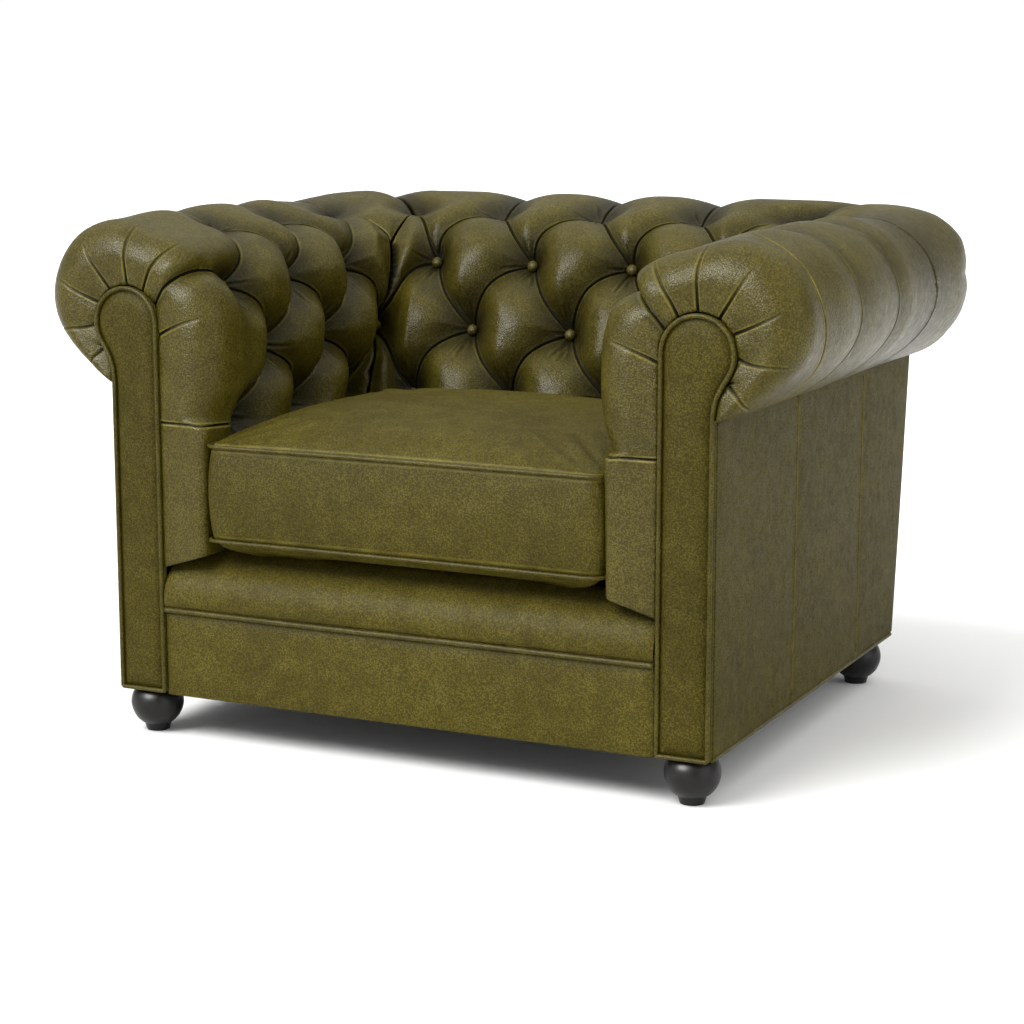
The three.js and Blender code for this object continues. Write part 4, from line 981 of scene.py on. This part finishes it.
floor_material, floor_tree, floor_shader, floor_where = node_material("pale_floor")
floor_clouds = noise(floor_tree, floor_where, 1.5, 2.0)
floor_color = mix_color(floor_tree, floor_clouds, (0.8, 0.8, 0.79), (0.83, 0.83, 0.82))
fill_inputs(floor_tree, floor_shader,
            {"Base Color": floor_color, "Roughness": 0.9, "Specular IOR Level": 0.1})
floor_mesh = bpy.data.meshes.new("floor")
floor_mesh.from_pydata([(-40, -40, 0), (40, -40, 0), (40, 40, 0), (-40, 40, 0)], [], [(0, 1, 2, 3)])
floor_mesh.materials.append(floor_material)
floor = bpy.data.objects.new("floor", floor_mesh)
scene.collection.objects.link(floor)


# Tufted covers
def make_covers():
    fold, left_fold = pleat_boundary(right_corner), pleat_boundary(left_corner)
    on_arm, on_back = range(-1, CORNER), range(BACK_START, MIRROR - CORNER)
    arm_boundary = cloth_line(0, on_arm) + fold + cloth_line(LAST, on_arm[::-1])
    back_boundary = fold[::-1] + cloth_line(0, on_back) + left_fold + cloth_line(LAST, on_back[::-1])
    points, faces, marks, flat = tufted_mesh(arm_boundary, pleats_for["arm"], 3)
    points, faces, marks = hem(points, faces, marks, flat)
    right = new_mesh("arm_cover_right", points, faces, hide, marks)
    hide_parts("arm_pad_right")
    points, faces = mirrored(points, faces)
    left = new_mesh("arm_cover_left", points, faces, hide, marks)
    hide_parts("arm_pad_left")
    points, faces, marks, flat = tufted_mesh(back_boundary, pleats_for["back"], 4)
    points, faces, marks = hem(points, faces, marks, flat)
    back = new_mesh("back_cover", points, faces, hide, marks)
    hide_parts("back_pad")


make_covers()


# Lofts, cords and turned pieces
def loop_faces(loops, count, closed_loop=True, close_ends=False):
    faces = []
    for i in range(loops - 1):
        for j in range(count if closed_loop else count - 1):
            k = (j + 1) % count
            faces.append((i * count + j, i * count + k, (i + 1) * count + k, (i + 1) * count + j))
    if close_ends:
        faces.append(tuple(reversed(range(count))))
        faces.append(tuple(range((loops - 1) * count, loops * count)))
    return faces


def outward(points, faces):
    """Turns the faces of a closed mesh to look out."""
    volume = 0.0
    for face in faces:
        for i in range(1, len(face) - 1):
            volume += np.dot(points[face[0]], np.cross(points[face[i]], points[face[i + 1]]))
    return faces if volume > 0 else [tuple(reversed(face)) for face in faces]


def cord_mesh(path, radius, sides=12, closed=False):
    """A round cord along a path, with frames carried along it so that it doesn't twist."""
    path = np.asarray(path, float)
    count = len(path)
    tangent = unit(np.roll(path, -1, 0) - np.roll(path, 1, 0) if closed else np.gradient(path, axis=0))
    normal = np.cross(tangent[0], [0.0, 1.0, 0.0])
    if np.linalg.norm(normal) < 0.1:
        normal = np.cross(tangent[0], [0.0, 0.0, 1.0])
    normals = []
    for t in tangent:
        normal = unit(normal - t * np.dot(normal, t))
        normals.append(normal)
    normals = np.array(normals)
    side = np.cross(tangent, normals)
    angle = np.linspace(0, 2 * np.pi, sides, endpoint=False)
    rings = path[:, None] + radius * (np.cos(angle)[None, :, None] * normals[:, None]
                                      + np.sin(angle)[None, :, None] * side[:, None])
    points = rings.reshape(-1, 3)
    faces = loop_faces(count, sides, close_ends=not closed)
    if closed:
        # the last ring meets the first one turned by as much as the frames have drifted
        first, last = normals[0], normals[-1]
        first = first - tangent[-1] * np.dot(first, tangent[-1])
        drift = math.atan2(np.dot(np.cross(last, first), tangent[-1]), np.dot(last, first))
        shift = int(round(drift / (2 * np.pi / sides))) % sides
        base = (count - 1) * sides
        for j in range(sides):
            k = (j + 1) % sides
            faces.append((base + (j + shift) % sides, base + (k + shift) % sides, k, j))
    return points, outward(points, faces)


def even(path, spacing, closed=False, count=None):
    """A path with points an even distance apart."""
    path = np.asarray(path, float)
    if closed:
        path = np.concatenate([path, path[:1]])
    length = running_length(path)
    count = count or max(int(length[-1] / spacing), 4)
    marks = np.linspace(0, length[-1], count, endpoint=not closed)
    return np.stack([np.interp(marks, length, path[:, k]) for k in range(path.shape[1])], -1)


def rounded(path, radius, steps=5):
    """A flat closed path with its sharp corners turned into curves."""
    out = []
    for i, point in enumerate(path):
        a, b = path[i - 1] - point, path[(i + 1) % len(path)] - point
        a_length, b_length = np.linalg.norm(a), np.linalg.norm(b)
        if np.dot(a, b) / (a_length * b_length) < -0.9:
            out.append(point)
            continue
        reach = min(radius, a_length / 2, b_length / 2)
        start, end = point + a / a_length * reach, point + b / b_length * reach
        for t in np.linspace(0, 1, steps):
            out.append((1 - t) ** 2 * start + 2 * t * (1 - t) * point + t * t * end)
    return np.array(out)


def inset(path, distance):
    """A flat closed path drawn in by a distance."""
    path = np.asarray(path, float)
    area = np.sum(path[:, 0] * np.roll(path[:, 1], -1) - np.roll(path[:, 0], -1) * path[:, 1])
    sign = 1 if area > 0 else -1
    before, after = (np.stack([-run[:, 1], run[:, 0]], -1) * sign
                     for run in (unit(path - np.roll(path, 1, 0)), unit(np.roll(path, -1, 0) - path)))
    middle = unit(before + after)
    return path + middle * (distance / np.maximum((middle * before).sum(1), 0.5))[:, None]


# Sheets: how close their points come to an edge, how deep their seams are, and their welts
edge_rows, sheet_edge, sheet_clearance, seam_clearance = (1.2, 2.6, 4.4, 6.8, 10.0), 0.9, 11.5, 8.5
# the last of these is how strongly rubbed wear and a painted highlight show beside seams
sheet_groove, cover_groove, edge_wear_and_highlight = 2.0, 2.8, 0.6
welt_radius, welt_rise = 3.4, 3.6


def flat_sheet(boundary, spacing, height, seams=()):
    """Triangles inside a flat outline. height gives how far each point stands out."""
    edge = even(boundary, spacing, closed=True)
    closed_edge = np.concatenate([edge, edge[:1]])
    lines = [even(line, spacing) for line in seams]

    def to_edge(points):
        return distance_to_line(points, closed_edge)[0]

    def to_seams(points):
        far = np.full(len(points), 1e9)
        return np.min([far] + [distance_to_line(points, line)[0] for line in lines], axis=0)

    low, high = edge.min(0), edge.max(0)
    grid = []
    for k, v in enumerate(np.arange(low[1] + spacing / 2, high[1], spacing * row_share)):
        u = np.arange(low[0] + spacing * (0.25 + 0.5 * (k % 2)), high[0], spacing)
        grid.append(np.stack([u, np.full_like(u, v)], -1))
    grid = np.concatenate(grid)
    grid = grid[(to_seams(grid) > seam_clearance) & (to_edge(grid) > sheet_clearance)]
    extra = []
    for line in lines:
        run = unit(np.gradient(line, axis=0))
        side = np.stack([-run[:, 1], run[:, 0]], -1)
        for offset in GROOVE[0][1:]:
            extra += [line + side * offset, line - side * offset]
    inner = np.concatenate([grid] + extra + [inset(edge, distance) for distance in edge_rows])
    inner = inner[inside_polygon(inner, edge) & (to_edge(inner) > sheet_edge)]
    kept = [inside_polygon(line, edge) & (to_edge(line) > sheet_edge) for line in lines]
    flat, faces = triangulate(edge, lines, kept, inner)
    seam_distance = to_seams(flat)
    lift = height(flat, to_edge(flat), seam_distance)
    lift = lift + np.interp(seam_distance, *GROOVE) * sheet_groove / cover_groove
    # painted shade in the seams' creases, and rubbed wear with a painted highlight on their edges
    crease, edges = seam_marks(seam_distance, 1.7, 1.7, 2.6, 1.5)
    return flat, faces, lift, {"crease": crease, "edge": edges * edge_wear_and_highlight}


def rimmed(points, faces, marks, axis, sign, depth):
    """A sheet that looks along an axis, or against it, with a rim that goes back by a depth."""
    a, b, c = (points[faces[:, k]] for k in range(3))
    if np.cross(b - a, c - a)[:, axis].sum() * sign < 0:
        faces = faces[:, ::-1]
    move = np.zeros(3)
    move[axis] = -sign * depth
    points, faces = skirted(points, faces, lambda i: points[i] + move)
    return points, faces, pad_marks(marks, len(points))


def on_side(side, points, faces):
    return (points, faces) if side == "right" else mirrored(points, faces)


# Arm fronts
keyhole_corner, facing_edge, facing_back, facing_rim = 5.0, 8.2, 1.4, 7.0
facing_cord_inset, facing_cord_y, facing_cord_radius = 4.5, -3.3, 3.0
facing_spacing, rim_spacing, facing_base = 5.0, 4.0, 0.2
facing_puff_reach, facing_wave, facing_wave_length, head_puff = 6.0, 0.3, 61.0, 1.3


def facing_height(flat, edge_distance, _):
    """How far the arm front is puffed inside its piping. A thin flange lies under the cord."""
    edge_distance = np.maximum(edge_distance - facing_flange, 0)
    puff = (facing_puff - facing_back) * (1 - np.exp(-edge_distance / facing_puff_reach))
    wave = facing_wave * np.sin(flat[:, 1] / facing_wave_length) * smooth(edge_distance, 2, 20)
    head = head_puff * smooth(flat[:, 1], head_z - 40, head_z + 10) * smooth(edge_distance, 0, 16)
    return puff - facing_base + wave + head


def make_facings():
    rows = np.concatenate([range(HEAD_ROW), np.linspace(HEAD_ROW, NECK_ROW, 60),
                           np.linspace(NECK_ROW, LAST, 18)[1:]])
    loop = np.concatenate([keyhole(rows), [(body_half, body_bottom), (facing_inner, body_bottom)]])
    loop = rounded(loop, keyhole_corner)
    rim = inset(even(loop, rim_spacing, closed=True), facing_edge - facing_flange)
    flat, faces, lift, marks = flat_sheet(rim, facing_spacing, facing_height)
    points = np.stack([flat[:, 0], np.maximum(-lift, -facing_puff), flat[:, 1]], -1)
    points, faces, marks = rimmed(points, faces, marks, 1, -1, facing_rim)
    path = even(inset(loop, facing_cord_inset), rim_spacing, closed=True)
    path = np.stack([path[:, 0], np.full(len(path), facing_cord_y), path[:, 1]], -1)
    cord_points, cord_faces = cord_mesh(path, facing_cord_radius, closed=True)
    for side in ("right", "left"):
        facing = new_mesh("arm_front_" + side, *on_side(side, points, faces), smooth_hide, marks)
        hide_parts("facing_" + side)
        cord = new_mesh("arm_front_piping_" + side, *on_side(side, cord_points, cord_faces), cord_hide,
                        slot="leather_piping")
        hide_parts("facing_piping_" + side)


make_facings()


# Front border, its piping and the lip
lip_bottom, border_cord_size, border_rim = 190.0, 8.4, 8.0
border_cord_y, border_cord_z, border_cord_radius = -3.2, 185.9, 3.9
lip_section = [(8.0, 190.2), (-1.0, 190.2), (-5.5, 193.5), (-8.0, 201), (-8.4, 210), (-6.6, 220), (-2.4, 230),
               (4.5, 239), (14.0, 246.5), (26.0, 253.5), (40.0, 260.5), (52.0, 266.5), (60.0, 268.5)]
lip_end_steps, lip_inner = np.array([0, 2, 5, 9, 14, 20]), 28
lip_pinch, lip_pinch_reach, lip_share = 4.0, 9.0, 0.8
lip_rows, lip_columns, lip_waves, border_points = 46, 110, ((0.7, 83), (0.5, 37)), 180
border_spacing, border_puff, border_puff_reach = 6.5, 5.0, 14.0
border_wave, border_wave_length, border_wave_start = 0.35, 57.0, 0.4
cord_wave, cord_wave_length = 0.3, 70


def border_height(flat, edge_distance, _):
    puff = border_puff * (1 - np.exp(-edge_distance / border_puff_reach))
    wave = border_wave * np.sin(flat[:, 0] / border_wave_length + border_wave_start)
    return puff + wave * smooth(edge_distance, 4, 30)


def lip_mesh(half):
    """The lip: a stuffed roll whose section swells between its ends."""
    line = spline(lip_section, np.linspace(0, 1, lip_rows))
    belly = np.sin(np.linspace(0, 1, len(line)) * np.pi)
    xs = np.concatenate([lip_end_steps - half, np.linspace(lip_inner - half, half - lip_inner, lip_columns),
                         half - lip_end_steps[::-1]])
    starts = np.random.default_rng(5).uniform(0, 6, 2)
    loops = []
    for x in xs:
        pinch = np.exp(-(half - abs(x)) / lip_pinch_reach) * lip_pinch
        puff = sum(size * np.sin(x / length + start) for (size, length), start in zip(lip_waves, starts))
        ys = line[:, 0] + (pinch * belly - puff * belly * lip_share)
        zs = line[:, 1] - pinch * belly * lip_share
        loops.append(np.stack([np.full(len(line), x), ys, zs], -1))
    points = np.concatenate(loops)
    faces = loop_faces(len(xs), len(line), closed_loop=False)
    if vertex_normals(points, [f[:3] for f in faces])[:, 1].sum() > 0:
        faces = [tuple(reversed(f)) for f in faces]
    return points, faces


def make_front():
    half, top = facing_inner - gap, lip_bottom - border_cord_size
    boundary = [(-half, body_bottom), (half, body_bottom), (half, top), (-half, top)]
    flat, faces, lift, marks = flat_sheet(boundary, border_spacing, border_height)
    points = np.stack([flat[:, 0], -lift, flat[:, 1]], -1)
    points, faces, marks = rimmed(points, faces, marks, 1, -1, border_rim)
    border = new_mesh("front_border_cover", points, faces, border_hide, marks)
    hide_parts("front_border")
    x = np.linspace(-half, half, border_points)
    z = border_cord_z + cord_wave * np.sin(x / cord_wave_length)
    path = np.stack([x, np.full_like(x, border_cord_y), z], -1)
    points, faces = cord_mesh(path, border_cord_radius)
    cord = new_mesh("border_piping_cord", points, faces, cord_hide, slot="leather_piping")
    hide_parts("border_piping")
    lip = new_mesh("front_lip_cover", *lip_mesh(half), border_hide)
    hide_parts("front_lip")


make_front()


# Outside panels
panel_front, panel_lift, seam_start, seam_stop, panel_rim = 9.5, 7, 7.5, 0.5, 7.5
side_seams, back_seams = ((310, 313), (600, 604)), ((-150, -150), (150, 150))
panel_spacing, panel_puff, panel_puff_share, panel_puff_reach = 8.0, 1.6, 0.9, 24.0
panel_wave, panel_wave_lengths, panel_rear = 0.25, (71, 93), 0.8
welt_spacing, welt_front, welt_rear = 6.0, 10.0, 4


def outside_height(flat, edge_distance, seam_distance):
    near = np.minimum(edge_distance, seam_distance)
    puff = panel_puff * (1 - np.exp(-near / panel_puff_reach)) - panel_puff
    return puff * panel_puff_share + panel_wave * np.sin((flat / panel_wave_lengths).sum(1))


def make_outside():
    top, low = roll_foot - gap, body_bottom + panel_lift
    rake = (outer_back - back_foot_depth) / (roll_foot - body_bottom)
    rear_top = back_foot_depth + rake * (top - body_bottom)

    def panel(boundary, seams):
        lines = [[(start, body_bottom + seam_start), (end, top - seam_stop)] for start, end in seams]
        return flat_sheet(boundary, panel_spacing, outside_height, lines)

    def welt(start, end):
        return cord_mesh(even([start, end], welt_spacing), welt_radius)

    boundary = [(panel_front, low), (back_foot_depth + panel_rear, low), (rear_top, top), (panel_front, top)]
    flat, faces, lift, marks = panel(boundary, side_seams)
    points = np.stack([body_half + lift, flat[:, 0], flat[:, 1]], -1)
    points, faces, marks = rimmed(points, faces, marks, 0, 1, panel_rim)
    welt_x, welt_z = body_half - welt_radius, body_bottom + welt_rise
    welt_end = back_foot_depth - welt_rear
    welt_points, welt_faces = welt((welt_x, welt_front, welt_z), (welt_x, welt_end, welt_z))
    for side in ("right", "left"):
        cover_piece = new_mesh("outside_arm_cover_" + side, *on_side(side, points, faces), side_hide, marks)
        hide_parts("outside_arm_" + side)
        new_mesh("outside_arm_welt_" + side, *on_side(side, welt_points, welt_faces), cord_hide,
                 slot="leather_piping")
    half = body_half - panel_thickness - gap
    flat, faces, lift, marks = panel([(-half, low), (half, low), (half, top), (-half, top)], back_seams)
    y = back_foot_depth + rake * (flat[:, 1] - body_bottom) + lift
    points = np.stack([flat[:, 0], y, flat[:, 1]], -1)
    points, faces, marks = rimmed(points, faces, marks, 1, 1, panel_rim)
    back = new_mesh("outside_back_cover", points, faces, side_hide, marks)
    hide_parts("outside_back")
    welt_y = back_foot_depth - welt_rise
    new_mesh("outside_back_welt", *welt((-half, welt_y, welt_z), (half, welt_y, welt_z)), cord_hide,
             slot="leather_piping")


make_outside()


# Buttons
button_radius, button_dome, button_full, button_sides = 8.6, 6.0, 4.6, 28
button_profile = [(0.35, -9.0), (0.8, -2.6), (0.97, -1.2), (1.0, 0.0), (0.97, 0.9), (0.88, 2.1), (0.72, 3.2),
                  (0.5, 4.0), (0.25, 4.45)]
back_stand, corner_stand, low_stand = 13.5, 34.0, 12.5


def button_mesh(seat, out):
    """A domed button on its seat, looking out."""
    side = unit(np.cross(out, [0, 0, 1.0]))
    up = np.cross(side, out)
    angles = np.linspace(0, 2 * np.pi, button_sides, endpoint=False)
    points = [seat + button_radius * r * (np.cos(a) * side + np.sin(a) * up)
              + out * h * button_dome / button_full for r, h in button_profile for a in angles]
    points = np.array(points + [seat + out * button_dome])
    faces = loop_faces(len(button_profile), button_sides)
    last = (len(button_profile) - 1) * button_sides
    faces += [(last + j, last + (j + 1) % button_sides, len(points) - 1) for j in range(button_sides)]
    faces.append(tuple(reversed(range(button_sides))))
    return points, outward(points - seat, faces)


def button_at(column, row, stand):
    """A button standing out from the depth of its tuft."""
    pleats = pleats_for["back"] if CORNER <= column <= MIRROR - CORNER else pleats_for["arm"]
    seat = cover([column], [row], fold_depth(to_cloth([(column, row)]), pleats))[0]
    crest = cover([column], [row], [0.0])[0]
    out = unit(crest - seat)
    return button_mesh(seat + out * stand, unit(out))


def make_buttons():
    back = [("low_middle_10", 10), ("low_right_8", 8), ("low_left_8", 12), ("low_right_6", 6),
            ("low_left_6", 14), ("high_right_9", 9), ("high_left_9", 11), ("high_right_7", 7),
            ("high_left_7", 13)]
    for name, column in back:
        row = LOW_ROW if name.startswith("low") else HIGH_ROW
        stand = corner_stand if column in (CORNER, MIRROR - CORNER) else back_stand
        points, faces = button_at(column, row, stand)
        button = new_mesh("back_tuft_" + name, points, faces, hide, slot="leather_button")
        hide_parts("back_button_" + name)
    for column in (7, 9, 11, 13):
        points, faces = button_at(column, SEAT_ROW, low_stand)
        new_mesh(f"back_tuft_seat_{column}", points, faces, hide, slot="leather_button")
    for column, row in arm_tufts:
        if row == ROLL_ROW:
            continue
        points, faces = button_at(column, row, low_stand)
        for side in ("right", "left"):
            new_mesh(f"arm_tuft_{side}_{column}_{row}", *on_side(side, points, faces), hide,
                     slot="leather_button")


make_buttons()


# Feet
foot_profile = [(0.0, 0.0), (14.5, 0.0), (16.0, 0.5), (16.8, 1.8), (17.6, 4.5), (18.6, 8.0), (19.3, 10.2),
                (20.2, 11.2), (23.0, 12.6), (27.4, 16.6), (31.6, 22.0), (35.0, 29.0), (36.9, 36.0),
                (37.4, 42.0), (36.8, 48.0), (35.0, 54.0), (32.0, 59.0), (28.6, 62.4)]
foot_top, foot_rows, foot_sides, least_radius = (0.0, 62.6), 70, 56, 0.05
foot_inset, front_foot_depth, rear_foot_inset = 38.0, 33.0, 62.0


def make_feet():
    line = np.concatenate([spline(foot_profile, np.linspace(0, 1, foot_rows)), [foot_top]])
    angles = np.linspace(0, 2 * np.pi, foot_sides, endpoint=False)
    turned = np.array([(max(r, least_radius) * math.cos(a), max(r, least_radius) * math.sin(a), z)
                       for r, z in line for a in angles])
    faces = outward(turned, loop_faces(len(line), foot_sides, close_ends=True))
    for end, y in (("front", front_foot_depth), ("back", back_foot_depth - rear_foot_inset)):
        for side, sign in (("left", -1), ("right", 1)):
            points = turned + np.array([(body_half - foot_inset) * sign, y, 0])
            foot = new_mesh(f"bun_foot_{end}_{side}", points, faces, lacquer, slot="black_wood")
            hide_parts(f"foot_{end}_{side}")


make_feet()


# Seat cushion
cushion_front, cushion_rear, cushion_half = -8.0, 446.0, 294.0
cushion_corner, cushion_draw, corner_spread, spread_reach = 27.0, 4.0, 0.028, 32.0
seam_low, seam_high = 292.5, 424.5
crown_rise, belly_drop, boxing_puff = 44.0, 24.3, 5.5
side_rise = ([0, 1.5, 4, 12, 24, 44, 80, 130, 200], [0, 0.2, 0.4, 0.52, 0.63, 0.77, 0.87, 0.94, 1])
front_rise = ([0, 1.5, 4, 9, 20, 45, 90, 140, 210], [0, 0.1, 0.2, 0.32, 0.47, 0.67, 0.85, 0.95, 1])
rear_rise = ([0, 2, 6, 12, 20, 30, 46], [0, 0.29, 0.49, 0.67, 0.82, 0.94, 1])
belly_fall = ([0, 2, 5, 10, 18, 30], [0, 0.3, 0.52, 0.76, 0.93, 1])
level_insets = [0, 1.2, 2.6, 4.5, 7, 10, 14, 20, 28, 38, 50, 66, 86, 110, 140, 175, 205, 222]
edge_rise = ([0, 1.2, 2.6, 4.5, 8], [0, 0.35, 0.6, 0.8, 1])
cushion_middle, cushion_points = [0, 220, 350], 280
stuffing, stuffing_cap, voxel, cloth_steps = 3.0, 5.0, 0.0055, 20
seam_band, seam_hold = 3.2, 9
seam_near, seam_draw, seam_width, crease_shade_share = 14, 2.2, 3.6, 0.8
cushion_cord_radius, cushion_cord_out, cushion_cord_spacing, cushion_cord_sides = 2.6, 0.8, 5.0, 10
boxing_rows, boxing_power, least_corner, ease_reach = 18, 0.7, 4.0, 60


def cushion_loop(inset_by):
    """The cushion's outline in plan, drawn in by a distance. Its sides pull in between the corners."""
    half_depth = (cushion_rear - cushion_front) / 2
    w, d = cushion_half - inset_by, half_depth - inset_by
    radius = max(cushion_corner - inset_by / 2, least_corner)
    points = []
    for sx, sy, start in ((1, -1, -0.5), (1, 1, 0.0), (-1, 1, 0.5), (-1, -1, 1.0)):
        for turn in (math.pi * (start + step / 16) for step in range(9)):
            points.append((sx * (w - radius) + radius * math.cos(turn),
                           sy * (d - radius) + radius * math.sin(turn)))
    loop = even(np.array(points), 0, closed=True, count=cushion_points)
    ease = cushion_draw * max(1 - inset_by / ease_reach, 0)
    x, y = loop[:, 0], loop[:, 1]
    across, along = np.clip(x / w, -1, 1), np.clip(y / d, -1, 1)
    x = x - np.sign(across) * ease * (1 - along ** 2) * np.abs(across) ** 6
    y = y - np.sign(along) * ease * (1 - across ** 2) * np.abs(along) ** 6
    y = y + (cushion_front + cushion_rear) / 2
    x = x * (1 + corner_spread * np.exp(-((y - cushion_front) / spread_reach) ** 2))
    return np.stack([x, y], -1)


def cushion_level(inset_by, height):
    loop = cushion_loop(inset_by)
    return np.concatenate([loop, np.full((len(loop), 1), height)], 1)


def cushion_form(shrink=0.0):
    """The stuffed form: a crown fuller at the rear, puffed boxing between two seams, and a flat belly."""
    levels = []
    for inset_by in level_insets[::-1]:
        loop = cushion_level(inset_by + shrink, 0)
        front = np.maximum(loop[:, 1] - cushion_front, 0)
        fall = np.interp(np.minimum(front, inset_by), *belly_fall)
        loop[:, 2] = seam_low - (belly_drop - shrink) * fall
        levels.append(loop)
    for t in np.linspace(0, 1, boxing_rows)[1:-1]:
        puff = boxing_puff * math.sin(math.pi * t) ** boxing_power
        levels.append(cushion_level(shrink - puff, seam_low + (seam_high - seam_low) * t))
    for inset_by in level_insets:
        loop = cushion_level(inset_by + shrink, 0)
        side = np.interp(np.maximum(cushion_half - np.abs(loop[:, 0]), 0), *side_rise)
        front = np.interp(loop[:, 1] - cushion_front, *front_rise)
        rear = np.interp(cushion_rear - loop[:, 1], *rear_rise)
        edge = np.interp(inset_by, *edge_rise)
        loop[:, 2] = seam_high + (crown_rise - shrink) * side * front * rear * edge
        levels.append(loop)
    count = len(levels[0])
    points = np.concatenate(levels)
    faces = loop_faces(len(levels), count)
    for base, upper in ((0, False), ((len(levels) - 1) * count, True)):
        centre = len(points)
        points = np.concatenate([points, [points[base:base + count].mean(0)]])
        ring = [(base + j, base + (j + 1) % count, centre) for j in range(count)]
        faces += ring if upper else [tuple(reversed(f)) for f in ring]
    return points, outward(points - cushion_middle, faces)


def scratch_piece(points, faces):
    """A piece in metres that is only there for its modifiers."""
    mesh = bpy.data.meshes.new("scratch")
    mesh.from_pydata((np.array(points) / 1000).tolist(), [], faces)
    trial = bpy.data.objects.new("scratch", mesh)
    scene.collection.objects.link(trial)
    return trial


def evaluated(trial):
    return trial.evaluated_get(bpy.context.evaluated_depsgraph_get())


def read_mesh(mesh):
    """A mesh's points in millimetres, and its faces."""
    points = np.empty(len(mesh.vertices) * 3)
    mesh.vertices.foreach_get("co", points)
    return points.reshape(-1, 3) * 1000, [tuple(face.vertices) for face in mesh.polygons]


def stuffed(points, faces):
    """Inflates a closed form as cloth under pressure, no point moving further than the cap."""
    trial = scratch_piece(points, faces)
    remesh = trial.modifiers.new("remesh", "REMESH")
    remesh.mode = "VOXEL"
    remesh.voxel_size = voxel
    remesh.use_smooth_shade = True
    even_mesh = bpy.data.meshes.new_from_object(evaluated(trial))
    trial.modifiers.clear()
    trial.data = even_mesh
    start, _ = read_mesh(even_mesh)
    held = trial.vertex_groups.new(name="seams")
    rim = cushion_loop(0)
    rim = np.concatenate([rim, rim[:1]])
    for level in (seam_low, seam_high):
        near = np.nonzero(np.abs(start[:, 2] - level) < seam_band)[0]
        d = distance_to_line(start[near][:, :2], rim)[0]
        held.add(near[d < seam_hold].tolist(), 1.0, "REPLACE")
    cloth = trial.modifiers.new("cloth", "CLOTH")
    cloth.settings.quality = 5
    cloth.settings.mass = 0.4
    cloth.settings.tension_stiffness = cloth.settings.compression_stiffness = 20
    cloth.settings.shear_stiffness = 8
    cloth.settings.bending_stiffness = 1.5
    cloth.settings.use_pressure = True
    cloth.settings.uniform_pressure_force = 4
    cloth.settings.effector_weights.gravity = 0
    cloth.settings.vertex_group_mass = held.name
    cloth.collision_settings.use_collision = False
    cloth.point_cache.frame_start, cloth.point_cache.frame_end = 1, cloth_steps
    for step in range(1, cloth_steps + 1):
        scene.frame_set(step)
    end, found = read_mesh(evaluated(trial).to_mesh())
    evaluated(trial).to_mesh_clear()
    scene.frame_set(1)
    bpy.data.objects.remove(trial)
    length = np.linalg.norm(end - start, axis=1, keepdims=True)
    return start + (end - start) * np.minimum(stuffing_cap / np.maximum(length, 1e-9), 1), found


def subdivided(points, faces):
    """One round of Catmull-Clark subdivision."""
    trial = scratch_piece(points, faces)
    trial.modifiers.new("subdivision", "SUBSURF").levels = 1
    result = read_mesh(bpy.data.meshes.new_from_object(evaluated(trial)))
    bpy.data.objects.remove(trial)
    return result


def make_cushion():
    points, faces = subdivided(*stuffed(*cushion_form(stuffing)))
    # the seams are drawn in after the stuffing
    seam_distance = np.full(len(points), 1e3)
    rim = cushion_loop(0)
    rim = np.concatenate([rim, rim[:1]])
    for level in (seam_low, seam_high):
        near = np.nonzero(np.abs(points[:, 2] - level) < seam_near)[0]
        d = distance_to_line(points[near][:, :2], rim)[0]
        seam_distance[near] = np.minimum(seam_distance[near], np.hypot(d, points[near][:, 2] - level))
    normals = vertex_normals(points, [f[:3] for f in faces])
    points = points - normals * (seam_draw * np.exp(-(seam_distance / seam_width) ** 2))[:, None]
    # painted shade in the seams' creases, and rubbed wear with a painted highlight on their edges
    crease, edges = seam_marks(seam_distance, 4.0, 2.0, 6.5, 2.5)
    marks = {"crease": crease * crease_shade_share, "edge": edges * edge_wear_and_highlight}
    cushion = new_mesh("seat_cushion_cover", points, faces, cushion_hide, marks, body=CUSHION)
    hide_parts("cushion_cover")
    for name, z in (("upper", seam_high), ("lower", seam_low)):
        path = even(cushion_level(-cushion_cord_out, z), cushion_cord_spacing, closed=True)
        points, faces = cord_mesh(path, cushion_cord_radius, cushion_cord_sides, closed=True)
        new_mesh("seat_cushion_piping_" + name, points, faces, cord_hide, slot="leather_piping", body=CUSHION)


make_cushion()


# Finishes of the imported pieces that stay
beech = ("front_rail", "back_rail", "back_top_rail", "back_tack_rail", "front_post", "back_post", "side_rail",
         "roll_board", "arm_tack_rail", "corner_block")
finishes = [(beech, wood), (("seat_spring", "foot_bolt"), steel), ("seat_deck", deck_cloth),
            ("dust_cover", lining), ("cushion_core", foam), ("cushion_zip", zip_tape), ("zip_slider", brass),
            ("foot", lacquer), ("", hide)]


def finish_nodes():
    for name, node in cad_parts.items():
        material = next(finish for starts, finish in finishes if name.startswith(starts))
        for slot in node.material_slots:
            slot.material = material
        if not node.material_slots:
            node.data.materials.append(material)


finish_nodes()
